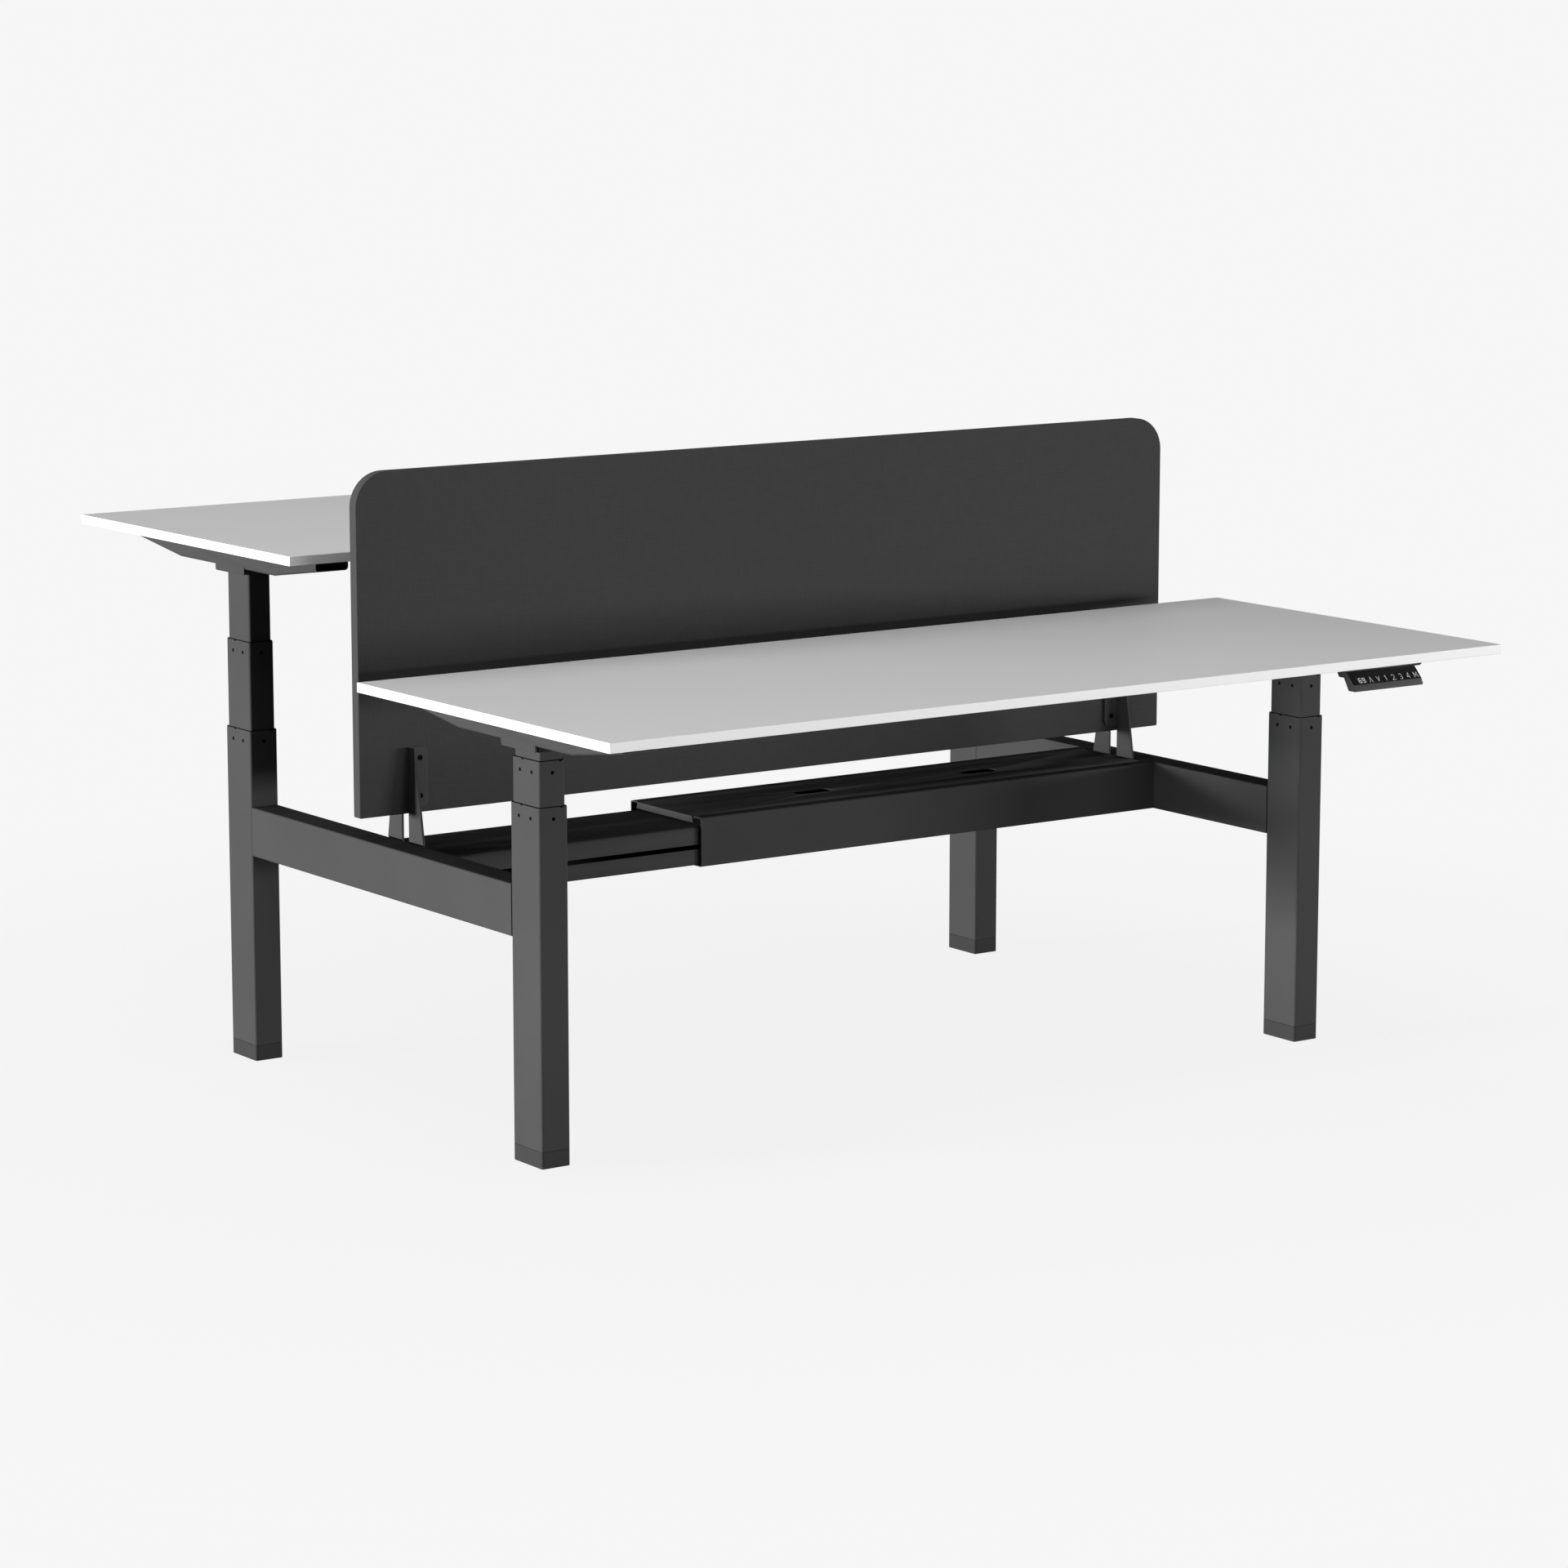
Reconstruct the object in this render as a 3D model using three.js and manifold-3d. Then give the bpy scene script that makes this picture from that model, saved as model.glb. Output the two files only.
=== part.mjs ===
// Benching desk for two: two sit-stand desktops face to face on one open steel frame,
// with a screen between them and a cable tray along the middle.
// Millimetres, +Z up, origin on the floor under the middle of the bench.
// +X runs along the desks, -Y is the near side and +Y the far side.
import * as THREE from "three";
import { mergeVertices } from "three/addons/utils/BufferGeometryUtils.js";
import Module from "manifold-3d";

// Gap left between pieces that touch
const SEAT_GAP = 0.3;

// Desktops
const TOP_LENGTH = 1700;
const TOP_DEPTH = 700;
const TOP_THICKNESS = 15;
const TOP_EDGE_BEVEL = 0.6;
const DESK_GAP = 200;

// How far each desk stands above its lowest height
const NEAR_RISE = 20;
const FAR_RISE = 191;

// Lifting columns of three tubes: widths run along X, depths along Y
const LEG_INSET = 112.5;
const LEG_PITCH = 870;
const COLUMN_WIDTH = 50;
const COLUMN_DEPTH = 80;
const COLUMN_WALL = 2;
const COLUMN_CORNER = 4;
const STAGE_CLEARANCE = 0.5;
const STAGE_BUFFER = 2;
const MID_TUBE_SHARE = 0.44;
const OUTER_TUBE_TOP = 544;
const MID_TUBE_SHOWS = 60;
const INNER_TUBE_SHOWS = 3;

// Holes for the glide pads near the mouth of each outer and middle tube
const GLIDE_HOLE_DIAMETER = 5;
const GLIDE_HOLE_DROP = 17.5;
const GLIDE_HOLE_SPACING = 32;

// Foot caps
const FOOT_HEIGHT = 26;
const FOOT_SPIGOT_HEIGHT = 8;
const FOOT_SPIGOT_CLEARANCE = 0.4;
const FOOT_EDGE_BEVEL = 1.2;

// Lead screws, each in a nut tube that stands in the middle tube
const SCREW_DIAMETER = 14;
const SCREW_LENGTH = 540;
const SCREW_CLEARANCE = 0.7;
const NUT_TUBE_WALL = 3.3;
const NUT_TUBE_HEIGHT = 420;
const NUT_PLATE_THICKNESS = 6;

// End beams, flush with the columns
const BEAM_BOTTOM = 340;
const BEAM_HEIGHT = 80;
const BEAM_WALL = 2;
const BEAM_CORNER = 3;

// Beam sleeve, a folded channel that is also the cable tray
const SLEEVE_WIDTH = 204;
const SLEEVE_SHEET = 2;
const SLEEVE_LEFT_END = 222;
const SLEEVE_LIP = 22;
const SLEEVE_LEDGE = 10;
const END_PLATE_THICKNESS = 3;

// Inner beam, which telescopes into the sleeve
const INNER_BEAM_WIDTH = 190;
const INNER_BEAM_HEIGHT = 62.5;
const INNER_BEAM_WALL = 2.5;
const INNER_BEAM_CORNER = 4;
const INNER_BEAM_INSERT = 220;
const CLAMP_SLOT_HEIGHT = 7.4;
const CLAMP_SLOT_RISE = 26.3;
const CLAMP_SLOT_END = 40;

// Tray lid
const LID_THICKNESS = 2;
const LID_CLEARANCE = 1;
const LID_LIP_HEIGHT = 10.5;
const LID_LIP_FLARE = 3;
const CABLE_HOLE_LENGTH = 72;
const CABLE_HOLE_WIDTH = 32;
const CABLE_HOLE_PITCH = 343;

// Screen
const SCREEN_END_INSET = 55;
const SCREEN_HEIGHT = 535;
const SCREEN_THICKNESS = 20;
const SCREEN_CORNER = 55;
const SCREEN_EDGE_BEVEL = 1;
const SCREEN_CLEAR_OF_BEAM = 44;

// Screen brackets
const BRACKET_SHEET = 4;
const BRACKET_BASE_DEPTH = 43;
const BRACKET_TOP_DEPTH = 18;
const BRACKET_TAIL = 58;
const BRACKET_TAIL_INSET = 3;
const BRACKET_FLANGE_WIDTH = 30;
const BRACKET_FLANGE_HEIGHT = 94;
const BRACKET_FLANGE_RISE = 10;
const BRACKET_FLANGE_CORNER = 8;

// Desktop arms: hat channels with tapered ends; one end reaches further from the column
const ARM_WIDTH = 59;
const ARM_LONG_REACH = 326.5;
const ARM_SHORT_REACH = 269.5;
const ARM_LONG_FLAT = 180;
const ARM_SHORT_FLAT = 130;
const ARM_DEPTH = 42;
const ARM_END_DEPTH = 22;
const ARM_SHEET = 2.5;
const ARM_BEND_RADIUS = 5;
const ARM_FLANGE = 16;
const ARM_SKIRT_LENGTH = 95;
const ARM_SKIRT_OFFSET = 9.5;
const ARM_SKIRT_DROP = 9;
const ARM_SKIRT_CORNER = 3;

// Gear motors inside the arms
const HEAD_FLANGE_LENGTH = 104;
const HEAD_WINDOW_LENGTH = 76;
const HEAD_SIDE_CLEARANCE = 0.5;
const HEAD_TOP_CLEARANCE = 3;
const MOTOR_DIAMETER = 34;
const MOTOR_LENGTH = 112;
const MOTOR_NOSE_DIAMETER = 20;
const MOTOR_NOSE_LENGTH = 6;

// Crossbars between the two arms of a desk
const CROSSBAR_WIDTH = 60;
const CROSSBAR_HEIGHT = 30;
const CROSSBAR_WALL = 2;
const CROSSBAR_CORNER = 4;
const CROSSBAR_DROP = 4;

// Control boxes
const BOX_LENGTH = 264;
const BOX_DEPTH = 100;
const BOX_HEIGHT = 36;
const BOX_CORNER = 6;
const BOX_EAR_LENGTH = 18;
const BOX_EAR_WIDTH = 24;
const BOX_EAR_THICKNESS = 4;
const BOX_RIB_WIDTH = 3;
const BOX_RIB_HEIGHT = 2;
const BOX_RIB_PITCH = 12;
const BOX_RIB_COUNT = 9;
const BOX_PLACE_X = 250;
const BOX_PLACE_FROM_LEGS = 120;
const INLET_WIDTH = 27;
const INLET_HEIGHT = 20;
const INLET_DEPTH = 14;
const SOCKET_WIDTH = 14;
const SOCKET_HEIGHT = 12;
const SOCKET_PITCH = 22;
const SOCKET_COUNT = 3;

// Handsets: the profile is measured from the desktop's front lower edge
const HANDSET_WIDTH = 142;
const HANDSET_FROM_END = 260;
const HANDSET_PLATE_REACH = 46;
const HANDSET_PLATE_THICKNESS = 4;
const HANDSET_NECK_REACH = 17;
const HANDSET_NECK_DROP = 11;
const HANDSET_BACK_REACH = 5.5;
const HANDSET_DROP = 30.5;
const HANDSET_BOTTOM_DEPTH = 15.5;
const HANDSET_FACE_TOP_DROP = 1.5;
const HANDSET_FACE_RUN = 18;
const HANDSET_FACE_FALL = 19;
const HANDSET_BAND_RUN = 3.5;
const HANDSET_BAND_FALL = 7.5;
const DISPLAY_WIDTH = 17.5;
const DISPLAY_HEIGHT = 11;
const DISPLAY_RECESS = 0.6;
const DISPLAY_PLACE = 21.7;

// Keys, in pockets of the handset's sloping face
const KEY_NAMES = ["up", "down", "1", "2", "3", "4", "memory"];
const KEY_PITCH = 15.65;
const FIRST_KEY_PLACE = 39.4;
const KEY_WIDTH = 14.2;
const KEY_HEIGHT = 13;
const KEY_THICKNESS = 4.6;
const KEY_PROUD = 0.4;
const KEY_CORNER = 1.6;
const KEY_EDGE_BEVEL = 0.4;
const KEY_DOWN_THE_FACE = 18.3;
const KEY_CLEARANCE = 0.3;
const POCKET_DEPTH = 6;

// Straight steps round a quarter circle, small or large, and round a full one
const CORNER_STEPS = 2;
const LARGE_CORNER_STEPS = 8;
const ROUND_STEPS = 16;
const HOLE_STEPS = 8;

// Margin by which a shape that cuts or joins another passes the face that it meets
const CUT_MARGIN = 1;

// Sizes that follow from the ones above
const BEAM_TOP = BEAM_BOTTOM + BEAM_HEIGHT;
const LEG_SPAN = TOP_LENGTH - 2 * LEG_INSET;
const SCREEN_LENGTH = TOP_LENGTH - 2 * SCREEN_END_INSET;
const BEAM_INNER_FACE = (LEG_SPAN - COLUMN_WIDTH) / 2;
const LEG_Y = LEG_PITCH / 2;
const STAGE_STEP = COLUMN_WALL + STAGE_CLEARANCE;
const LOWEST_UNDERSIDE =
  OUTER_TUBE_TOP + MID_TUBE_SHOWS + INNER_TUBE_SHOWS + ARM_SKIRT_DROP + ARM_DEPTH;
const MID_TUBE_LOWEST = FOOT_HEIGHT + FOOT_SPIGOT_HEIGHT + STAGE_BUFFER;
const INNER_TUBE_LOWEST = MID_TUBE_LOWEST + NUT_PLATE_THICKNESS + STAGE_BUFFER;
const MID_TUBE_LENGTH = OUTER_TUBE_TOP + MID_TUBE_SHOWS - MID_TUBE_LOWEST;
const HEAD_UNDERSIDE = -(ARM_DEPTH + ARM_SKIRT_DROP);
const INNER_TUBE_LENGTH = LOWEST_UNDERSIDE + HEAD_UNDERSIDE - SEAT_GAP - INNER_TUBE_LOWEST;
const SCREW_HOLE_RADIUS = SCREW_DIAMETER / 2 + SCREW_CLEARANCE;
const LEDGE_TOP = BEAM_TOP - LID_THICKNESS - SEAT_GAP;
const LIP_EDGE = SLEEVE_WIDTH / 2 - SLEEVE_LIP;
const BRACKET_OUTER_X = BEAM_INNER_FACE - SEAT_GAP - END_PLATE_THICKNESS - SEAT_GAP;
const SCREEN_BOTTOM = BEAM_TOP + SCREEN_CLEAR_OF_BEAM;
const FACE_TILT = Math.atan2(HANDSET_FACE_FALL, HANDSET_FACE_RUN);

const wasm = await Module();
wasm.setup();

// Finishes
const FINISHES = {
  steel: { color: 0x1c1c1d, roughness: 0.5, metalness: 0.4 },
  board: { color: 0xb9b9b9, roughness: 0.6, metalness: 0 },
  plastic: { color: 0x232323, roughness: 0.6, metalness: 0 },
  screen: { color: 0x2b2b2b, roughness: 0.9, metalness: 0 },
  bright: { color: 0x9a9c9e, roughness: 0.35, metalness: 0.9 },
};

function piece(name, finish, geometry) {
  const mesh = new THREE.Mesh(geometry, new THREE.MeshStandardMaterial(FINISHES[finish]));
  mesh.name = name;
  return mesh;
}

// Solids that can be joined and cut

function solidOf(geometry) {
  const bare = geometry.clone();
  bare.deleteAttribute("normal");
  bare.deleteAttribute("uv");
  const merged = mergeVertices(bare);
  const vertProperties = merged.getAttribute("position").array;
  const triVerts = Uint32Array.from(merged.index.array);
  return new wasm.Manifold(new wasm.Mesh({ numProp: 3, vertProperties, triVerts }));
}

function geometryOf(solid) {
  const mesh = solid.getMesh();
  const indexed = new THREE.BufferGeometry();
  indexed.setAttribute("position", new THREE.BufferAttribute(mesh.vertProperties, 3));
  indexed.setIndex(new THREE.BufferAttribute(mesh.triVerts, 1));
  const faceted = indexed.toNonIndexed();
  faceted.computeVertexNormals();
  return faceted;
}

function join(geometries) {
  return geometryOf(geometries.map(solidOf).reduce((all, next) => all.add(next)));
}

function cut(geometry, tools) {
  return geometryOf(tools.map(solidOf).reduce((rest, tool) => rest.subtract(tool), solidOf(geometry)));
}

// Profiles

function traceRoundedRectangle(path, width, height, radius) {
  const x = width / 2;
  const y = height / 2;
  path.moveTo(-x + radius, -y);
  path.absarc(x - radius, -y + radius, radius, -Math.PI / 2, 0);
  path.absarc(x - radius, y - radius, radius, 0, Math.PI / 2);
  path.absarc(-x + radius, y - radius, radius, Math.PI / 2, Math.PI);
  path.absarc(-x + radius, -y + radius, radius, Math.PI, Math.PI * 1.5);
  return path;
}

function roundedRectangle(width, height, radius) {
  return traceRoundedRectangle(new THREE.Shape(), width, height, radius);
}

function hollowRectangle(width, height, wall, radius) {
  const shape = roundedRectangle(width, height, radius);
  const bore = new THREE.Path();
  shape.holes.push(traceRoundedRectangle(bore, width - 2 * wall, height - 2 * wall, radius - wall));
  return shape;
}

function polygon(points) {
  return new THREE.Shape(points.map(([x, y]) => new THREE.Vector2(x, y)));
}

// Extrusions, centred on the origin along the axis that names them

// A quarter arc has twice as many steps as curveSegments says.
function alongZ(shape, length, steps = CORNER_STEPS) {
  const options = { depth: length, bevelEnabled: false, curveSegments: steps / 2 };
  return new THREE.ExtrudeGeometry(shape, options).translate(0, 0, -length / 2);
}

// The profile's first axis lies along X and its second along Z.
function alongY(shape, length, steps = CORNER_STEPS) {
  return alongZ(shape, length, steps).rotateX(Math.PI / 2);
}

// The profile's first axis lies along Y and its second along Z.
function alongX(shape, length, steps = CORNER_STEPS) {
  const axes = [new THREE.Vector3(0, 1, 0), new THREE.Vector3(0, 0, 1), new THREE.Vector3(1, 0, 0)];
  return alongZ(shape, length, steps).applyMatrix4(new THREE.Matrix4().makeBasis(...axes));
}

// A plate of the given overall size whose edges are all bevelled, its lower face at z = 0.
function bevelledPlate(shapeOf, width, height, thickness, bevel, steps = CORNER_STEPS) {
  const options = {
    depth: thickness - 2 * bevel,
    bevelThickness: bevel,
    bevelSize: bevel,
    bevelSegments: 1,
    curveSegments: steps / 2,
  };
  const inset = shapeOf(width - 2 * bevel, height - 2 * bevel);
  return new THREE.ExtrudeGeometry(inset, options).translate(0, 0, bevel);
}

function box(width, depth, height, x, y, z) {
  return new THREE.BoxGeometry(width, depth, height).translate(x, y, z);
}

function roundBar(diameter, length, steps = ROUND_STEPS) {
  return new THREE.CylinderGeometry(diameter / 2, diameter / 2, length, steps);
}

// A solid through matching outlines, from the first to the last.
function loft(outlines) {
  const count = outlines[0].length;
  const positions = outlines.flatMap((outline) => outline.flatMap((point) => point.toArray()));
  const faces = [];
  const flat = outlines[0].map((point) => new THREE.Vector2(point.x, point.z));
  const last = (outlines.length - 1) * count;
  for (const [a, b, c] of THREE.ShapeUtils.triangulateShape(flat, [])) {
    faces.push(a, b, c);
    faces.push(last + a, last + c, last + b);
  }
  for (let row = 0; row < last; row += count) {
    for (let i = 0; i < count; i += 1) {
      const j = (i + 1) % count;
      faces.push(row + i, row + count + i, row + count + j);
      faces.push(row + i, row + count + j, row + j);
    }
  }
  const geometry = new THREE.BufferGeometry();
  geometry.setAttribute("position", new THREE.Float32BufferAttribute(positions, 3));
  geometry.setIndex(faces);
  return geometry;
}

// Columns, each built about its own axis

function stageSize(stage) {
  return {
    width: COLUMN_WIDTH - 2 * stage * STAGE_STEP,
    depth: COLUMN_DEPTH - 2 * stage * STAGE_STEP,
  };
}

function stageTube(stage, bottom, length) {
  const { width, depth } = stageSize(stage);
  const profile = hollowRectangle(width, depth, COLUMN_WALL, COLUMN_CORNER);
  return alongZ(profile, length).translate(0, 0, bottom + length / 2);
}

// Bars that pass right through a tube: two across its broad faces and one across its narrow ones.
function glideHoles(stage, top) {
  const { width, depth } = stageSize(stage);
  const z = top - GLIDE_HOLE_DROP;
  const broad = [-1, 1].map((side) =>
    roundBar(GLIDE_HOLE_DIAMETER, width + 2 * CUT_MARGIN, HOLE_STEPS)
      .rotateZ(Math.PI / 2)
      .translate(0, (side * GLIDE_HOLE_SPACING) / 2, z),
  );
  const narrow = roundBar(GLIDE_HOLE_DIAMETER, depth + 2 * CUT_MARGIN, HOLE_STEPS).translate(0, 0, z);
  return [...broad, narrow];
}

function footCap() {
  const rounded = (width, depth) => roundedRectangle(width, depth, COLUMN_CORNER - FOOT_EDGE_BEVEL);
  const block = bevelledPlate(rounded, COLUMN_WIDTH, COLUMN_DEPTH, FOOT_HEIGHT - SEAT_GAP, FOOT_EDGE_BEVEL);
  const inset = 2 * (COLUMN_WALL + FOOT_SPIGOT_CLEARANCE);
  const corner = COLUMN_CORNER - COLUMN_WALL;
  const spigotShape = roundedRectangle(COLUMN_WIDTH - inset, COLUMN_DEPTH - inset, corner);
  const spigotLength = FOOT_SPIGOT_HEIGHT + FOOT_HEIGHT / 2;
  const spigotTop = FOOT_HEIGHT + FOOT_SPIGOT_HEIGHT;
  const spigot = alongZ(spigotShape, spigotLength).translate(0, 0, spigotTop - spigotLength / 2);
  return join([block, spigot]);
}

function outerTube() {
  const tube = stageTube(0, FOOT_HEIGHT, OUTER_TUBE_TOP - FOOT_HEIGHT);
  return cut(tube, glideHoles(0, OUTER_TUBE_TOP));
}

// The middle tube with the nut plate across its foot and the nut tube that stands on the plate.
// It follows its desk by a fixed share of the rise.
function midTube(rise) {
  const bottom = MID_TUBE_LOWEST + MID_TUBE_SHARE * rise;
  const tube = cut(
    stageTube(1, bottom, MID_TUBE_LENGTH),
    glideHoles(1, bottom + MID_TUBE_LENGTH),
  );
  const { width, depth } = stageSize(1);
  const plateShape = roundedRectangle(width - COLUMN_WALL, depth - COLUMN_WALL, COLUMN_CORNER - COLUMN_WALL);
  const plate = alongZ(plateShape, NUT_PLATE_THICKNESS).translate(0, 0, bottom + NUT_PLATE_THICKNESS / 2);
  const nutLength = NUT_PLATE_THICKNESS + NUT_TUBE_HEIGHT;
  const outer = roundBar(2 * (SCREW_HOLE_RADIUS + NUT_TUBE_WALL), nutLength);
  const bore = roundBar(2 * SCREW_HOLE_RADIUS, nutLength + 2 * CUT_MARGIN);
  const stand = (bar) => bar.rotateX(Math.PI / 2).translate(0, 0, bottom + nutLength / 2);
  return cut(join([tube, plate, stand(outer)]), [stand(bore)]);
}

function innerTube(rise) {
  return stageTube(2, INNER_TUBE_LOWEST + rise, INNER_TUBE_LENGTH);
}

// Frame

function endBeam() {
  const length = LEG_PITCH - COLUMN_DEPTH - 2 * SEAT_GAP;
  const profile = hollowRectangle(COLUMN_WIDTH, BEAM_HEIGHT, BEAM_WALL, BEAM_CORNER);
  return alongY(profile, length).translate(0, 0, BEAM_BOTTOM + BEAM_HEIGHT / 2);
}

// Half of the sleeve's folded section, from the outside of its floor to the inside:
// wall, inward lip, step down and the ledge that carries the lid.
function sleeveHalfSection() {
  const wall = SLEEVE_WIDTH / 2;
  const ledgeEdge = LIP_EDGE - SLEEVE_LEDGE;
  const ledgeUnderside = LEDGE_TOP - SLEEVE_SHEET;
  return [
    [wall, BEAM_BOTTOM],
    [wall, BEAM_TOP],
    [LIP_EDGE, BEAM_TOP],
    [LIP_EDGE, LEDGE_TOP],
    [ledgeEdge, LEDGE_TOP],
    [ledgeEdge, ledgeUnderside],
    [LIP_EDGE + SLEEVE_SHEET, ledgeUnderside],
    [LIP_EDGE + SLEEVE_SHEET, BEAM_TOP - SLEEVE_SHEET],
    [wall - SLEEVE_SHEET, BEAM_TOP - SLEEVE_SHEET],
    [wall - SLEEVE_SHEET, BEAM_BOTTOM + SLEEVE_SHEET],
  ];
}

function beamSleeve() {
  const half = sleeveHalfSection();
  const mirrored = half.map(([y, z]) => [-y, z]).reverse();
  const right = BEAM_INNER_FACE - SEAT_GAP;
  const length = right + SLEEVE_LEFT_END;
  const channel = alongX(polygon([...half, ...mirrored]), length).translate(right - length / 2, 0, 0);
  const plateHeight = LEDGE_TOP - SLEEVE_SHEET - SEAT_GAP - BEAM_BOTTOM;
  const plateWidth = SLEEVE_WIDTH - SLEEVE_SHEET;
  const plateX = right - END_PLATE_THICKNESS / 2;
  const plate = box(END_PLATE_THICKNESS, plateWidth, plateHeight, plateX, 0, BEAM_BOTTOM + plateHeight / 2);
  return join([channel, plate]);
}

// Box section with an end plate, a clamp slot along each side and a notch for the bracket tails.
function innerBeam() {
  const left = -(BEAM_INNER_FACE - SEAT_GAP);
  const length = INNER_BEAM_INSERT - SLEEVE_LEFT_END - left;
  const bottom = BEAM_BOTTOM + SLEEVE_SHEET + SEAT_GAP;
  const profile = hollowRectangle(INNER_BEAM_WIDTH, INNER_BEAM_HEIGHT, INNER_BEAM_WALL, INNER_BEAM_CORNER);
  const middle = bottom + INNER_BEAM_HEIGHT / 2;
  const tube = alongX(profile, length).translate(left + length / 2, 0, middle);
  const plateWidth = INNER_BEAM_WIDTH - INNER_BEAM_WALL;
  const plateHeight = INNER_BEAM_HEIGHT - INNER_BEAM_WALL;
  const plate = box(END_PLATE_THICKNESS, plateWidth, plateHeight, left + END_PLATE_THICKNESS / 2, 0, middle);
  const slotZ = bottom + CLAMP_SLOT_RISE + CLAMP_SLOT_HEIGHT / 2;
  const slotLength = length - 2 * CLAMP_SLOT_END;
  const slotWidth = INNER_BEAM_WIDTH + 2 * CUT_MARGIN;
  const slot = box(slotLength, slotWidth, CLAMP_SLOT_HEIGHT, left + length / 2, 0, slotZ);
  const tailDepth = SCREEN_THICKNESS / 2 + BRACKET_BASE_DEPTH + CUT_MARGIN;
  const notchReach = BRACKET_SHEET + 2 * SEAT_GAP + CUT_MARGIN;
  const notchX = left + END_PLATE_THICKNESS + notchReach / 2;
  const notch = box(notchReach, 2 * tailDepth, 2 * INNER_BEAM_CORNER, notchX, 0, bottom + INNER_BEAM_HEIGHT);
  return cut(join([tube, plate]), [slot, notch]);
}

function stadium(length, width) {
  return roundedRectangle(length, width, width / 2);
}

function trayLid() {
  const left = -(SLEEVE_LEFT_END + SEAT_GAP + LID_THICKNESS);
  const right = BRACKET_OUTER_X - BRACKET_SHEET - LID_CLEARANCE;
  const halfWidth = LIP_EDGE - LID_CLEARANCE;
  const middle = (left + right) / 2;
  const plateZ = BEAM_TOP - LID_THICKNESS / 2;
  const plate = box(right - left, 2 * halfWidth, LID_THICKNESS, middle, 0, plateZ);
  const lipShape = polygon([
    [-halfWidth - LID_LIP_FLARE, BEAM_TOP - LID_LIP_HEIGHT],
    [halfWidth + LID_LIP_FLARE, BEAM_TOP - LID_LIP_HEIGHT],
    [halfWidth, BEAM_TOP],
    [-halfWidth, BEAM_TOP],
  ]);
  const lip = alongX(lipShape, LID_THICKNESS).translate(left + LID_THICKNESS / 2, 0, 0);
  const holes = [-1, 1].map((side) =>
    alongZ(stadium(CABLE_HOLE_LENGTH, CABLE_HOLE_WIDTH), LID_THICKNESS + 2 * CUT_MARGIN, LARGE_CORNER_STEPS)
      .translate(middle + (side * CABLE_HOLE_PITCH) / 2, 0, plateZ),
  );
  return cut(join([plate, lip]), holes);
}

// A panel with square lower corners and rounded upper ones.
function screenOutline(width, height) {
  const x = width / 2;
  const radius = SCREEN_CORNER - SCREEN_EDGE_BEVEL;
  const shape = new THREE.Shape();
  shape.moveTo(-x, -height / 2);
  shape.lineTo(x, -height / 2);
  shape.absarc(x - radius, height / 2 - radius, radius, 0, Math.PI / 2);
  shape.absarc(-x + radius, height / 2 - radius, radius, Math.PI / 2, Math.PI);
  return shape;
}

function screenPanel() {
  const panel = bevelledPlate(
    screenOutline,
    SCREEN_LENGTH,
    SCREEN_HEIGHT,
    SCREEN_THICKNESS,
    SCREEN_EDGE_BEVEL,
    LARGE_CORNER_STEPS,
  );
  return panel
    .translate(0, 0, -SCREEN_THICKNESS / 2)
    .rotateX(Math.PI / 2)
    .translate(0, 0, SCREEN_BOTTOM + SCREEN_HEIGHT / 2);
}

// The bracket at the right end of the far face: a tapered web that stands on the end plate,
// with a flange turned along the screen.
function screenBracket() {
  const inner = SCREEN_THICKNESS / 2 + SEAT_GAP;
  const flangeBottom = SCREEN_BOTTOM + BRACKET_FLANGE_RISE;
  const top = flangeBottom + BRACKET_FLANGE_HEIGHT;
  const tailEdge = inner + BRACKET_BASE_DEPTH - BRACKET_TAIL_INSET;
  const webShape = polygon([
    [inner, BEAM_TOP - BRACKET_TAIL],
    [tailEdge, BEAM_TOP - BRACKET_TAIL],
    [tailEdge, BEAM_TOP - BRACKET_TAIL_INSET],
    [inner + BRACKET_BASE_DEPTH, BEAM_TOP],
    [inner + BRACKET_TOP_DEPTH, top],
    [inner, top],
  ]);
  const web = alongX(webShape, BRACKET_SHEET).translate(BRACKET_OUTER_X - BRACKET_SHEET / 2, 0, 0);
  const flangeWidth = BRACKET_FLANGE_WIDTH + BRACKET_SHEET;
  const flangeShape = new THREE.Shape();
  flangeShape.moveTo(flangeWidth, 0);
  flangeShape.lineTo(flangeWidth, BRACKET_FLANGE_HEIGHT);
  const corner = BRACKET_FLANGE_CORNER;
  flangeShape.absarc(corner, BRACKET_FLANGE_HEIGHT - corner, corner, Math.PI / 2, Math.PI);
  flangeShape.absarc(corner, corner, corner, Math.PI, Math.PI * 1.5);
  const flange = alongY(flangeShape, BRACKET_SHEET);
  flange.translate(BRACKET_OUTER_X - flangeWidth, inner + BRACKET_SHEET / 2, flangeBottom);
  return join([web, flange]);
}

function buildFrame() {
  const frame = new THREE.Group();
  for (const [end, sign] of [["left", -1], ["right", 1]]) {
    const beam = piece(`end_beam_${end}`, "steel", endBeam());
    beam.position.x = (sign * LEG_SPAN) / 2;
    frame.add(beam);
    for (const [side, across] of [["near", -1], ["far", 1]]) {
      const bracket = piece(`screen_bracket_${side}_${end}`, "steel", screenBracket());
      bracket.scale.set(sign, across, 1);
      frame.add(bracket);
    }
  }
  frame.add(piece("beam_sleeve", "steel", beamSleeve()));
  frame.add(piece("beam_inner", "steel", innerBeam()));
  frame.add(piece("tray_lid", "steel", trayLid()));
  frame.add(piece("screen_panel", "screen", screenPanel()));
  return frame;
}

// Desk pieces: z = 0 is the underside of the desktop

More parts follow.
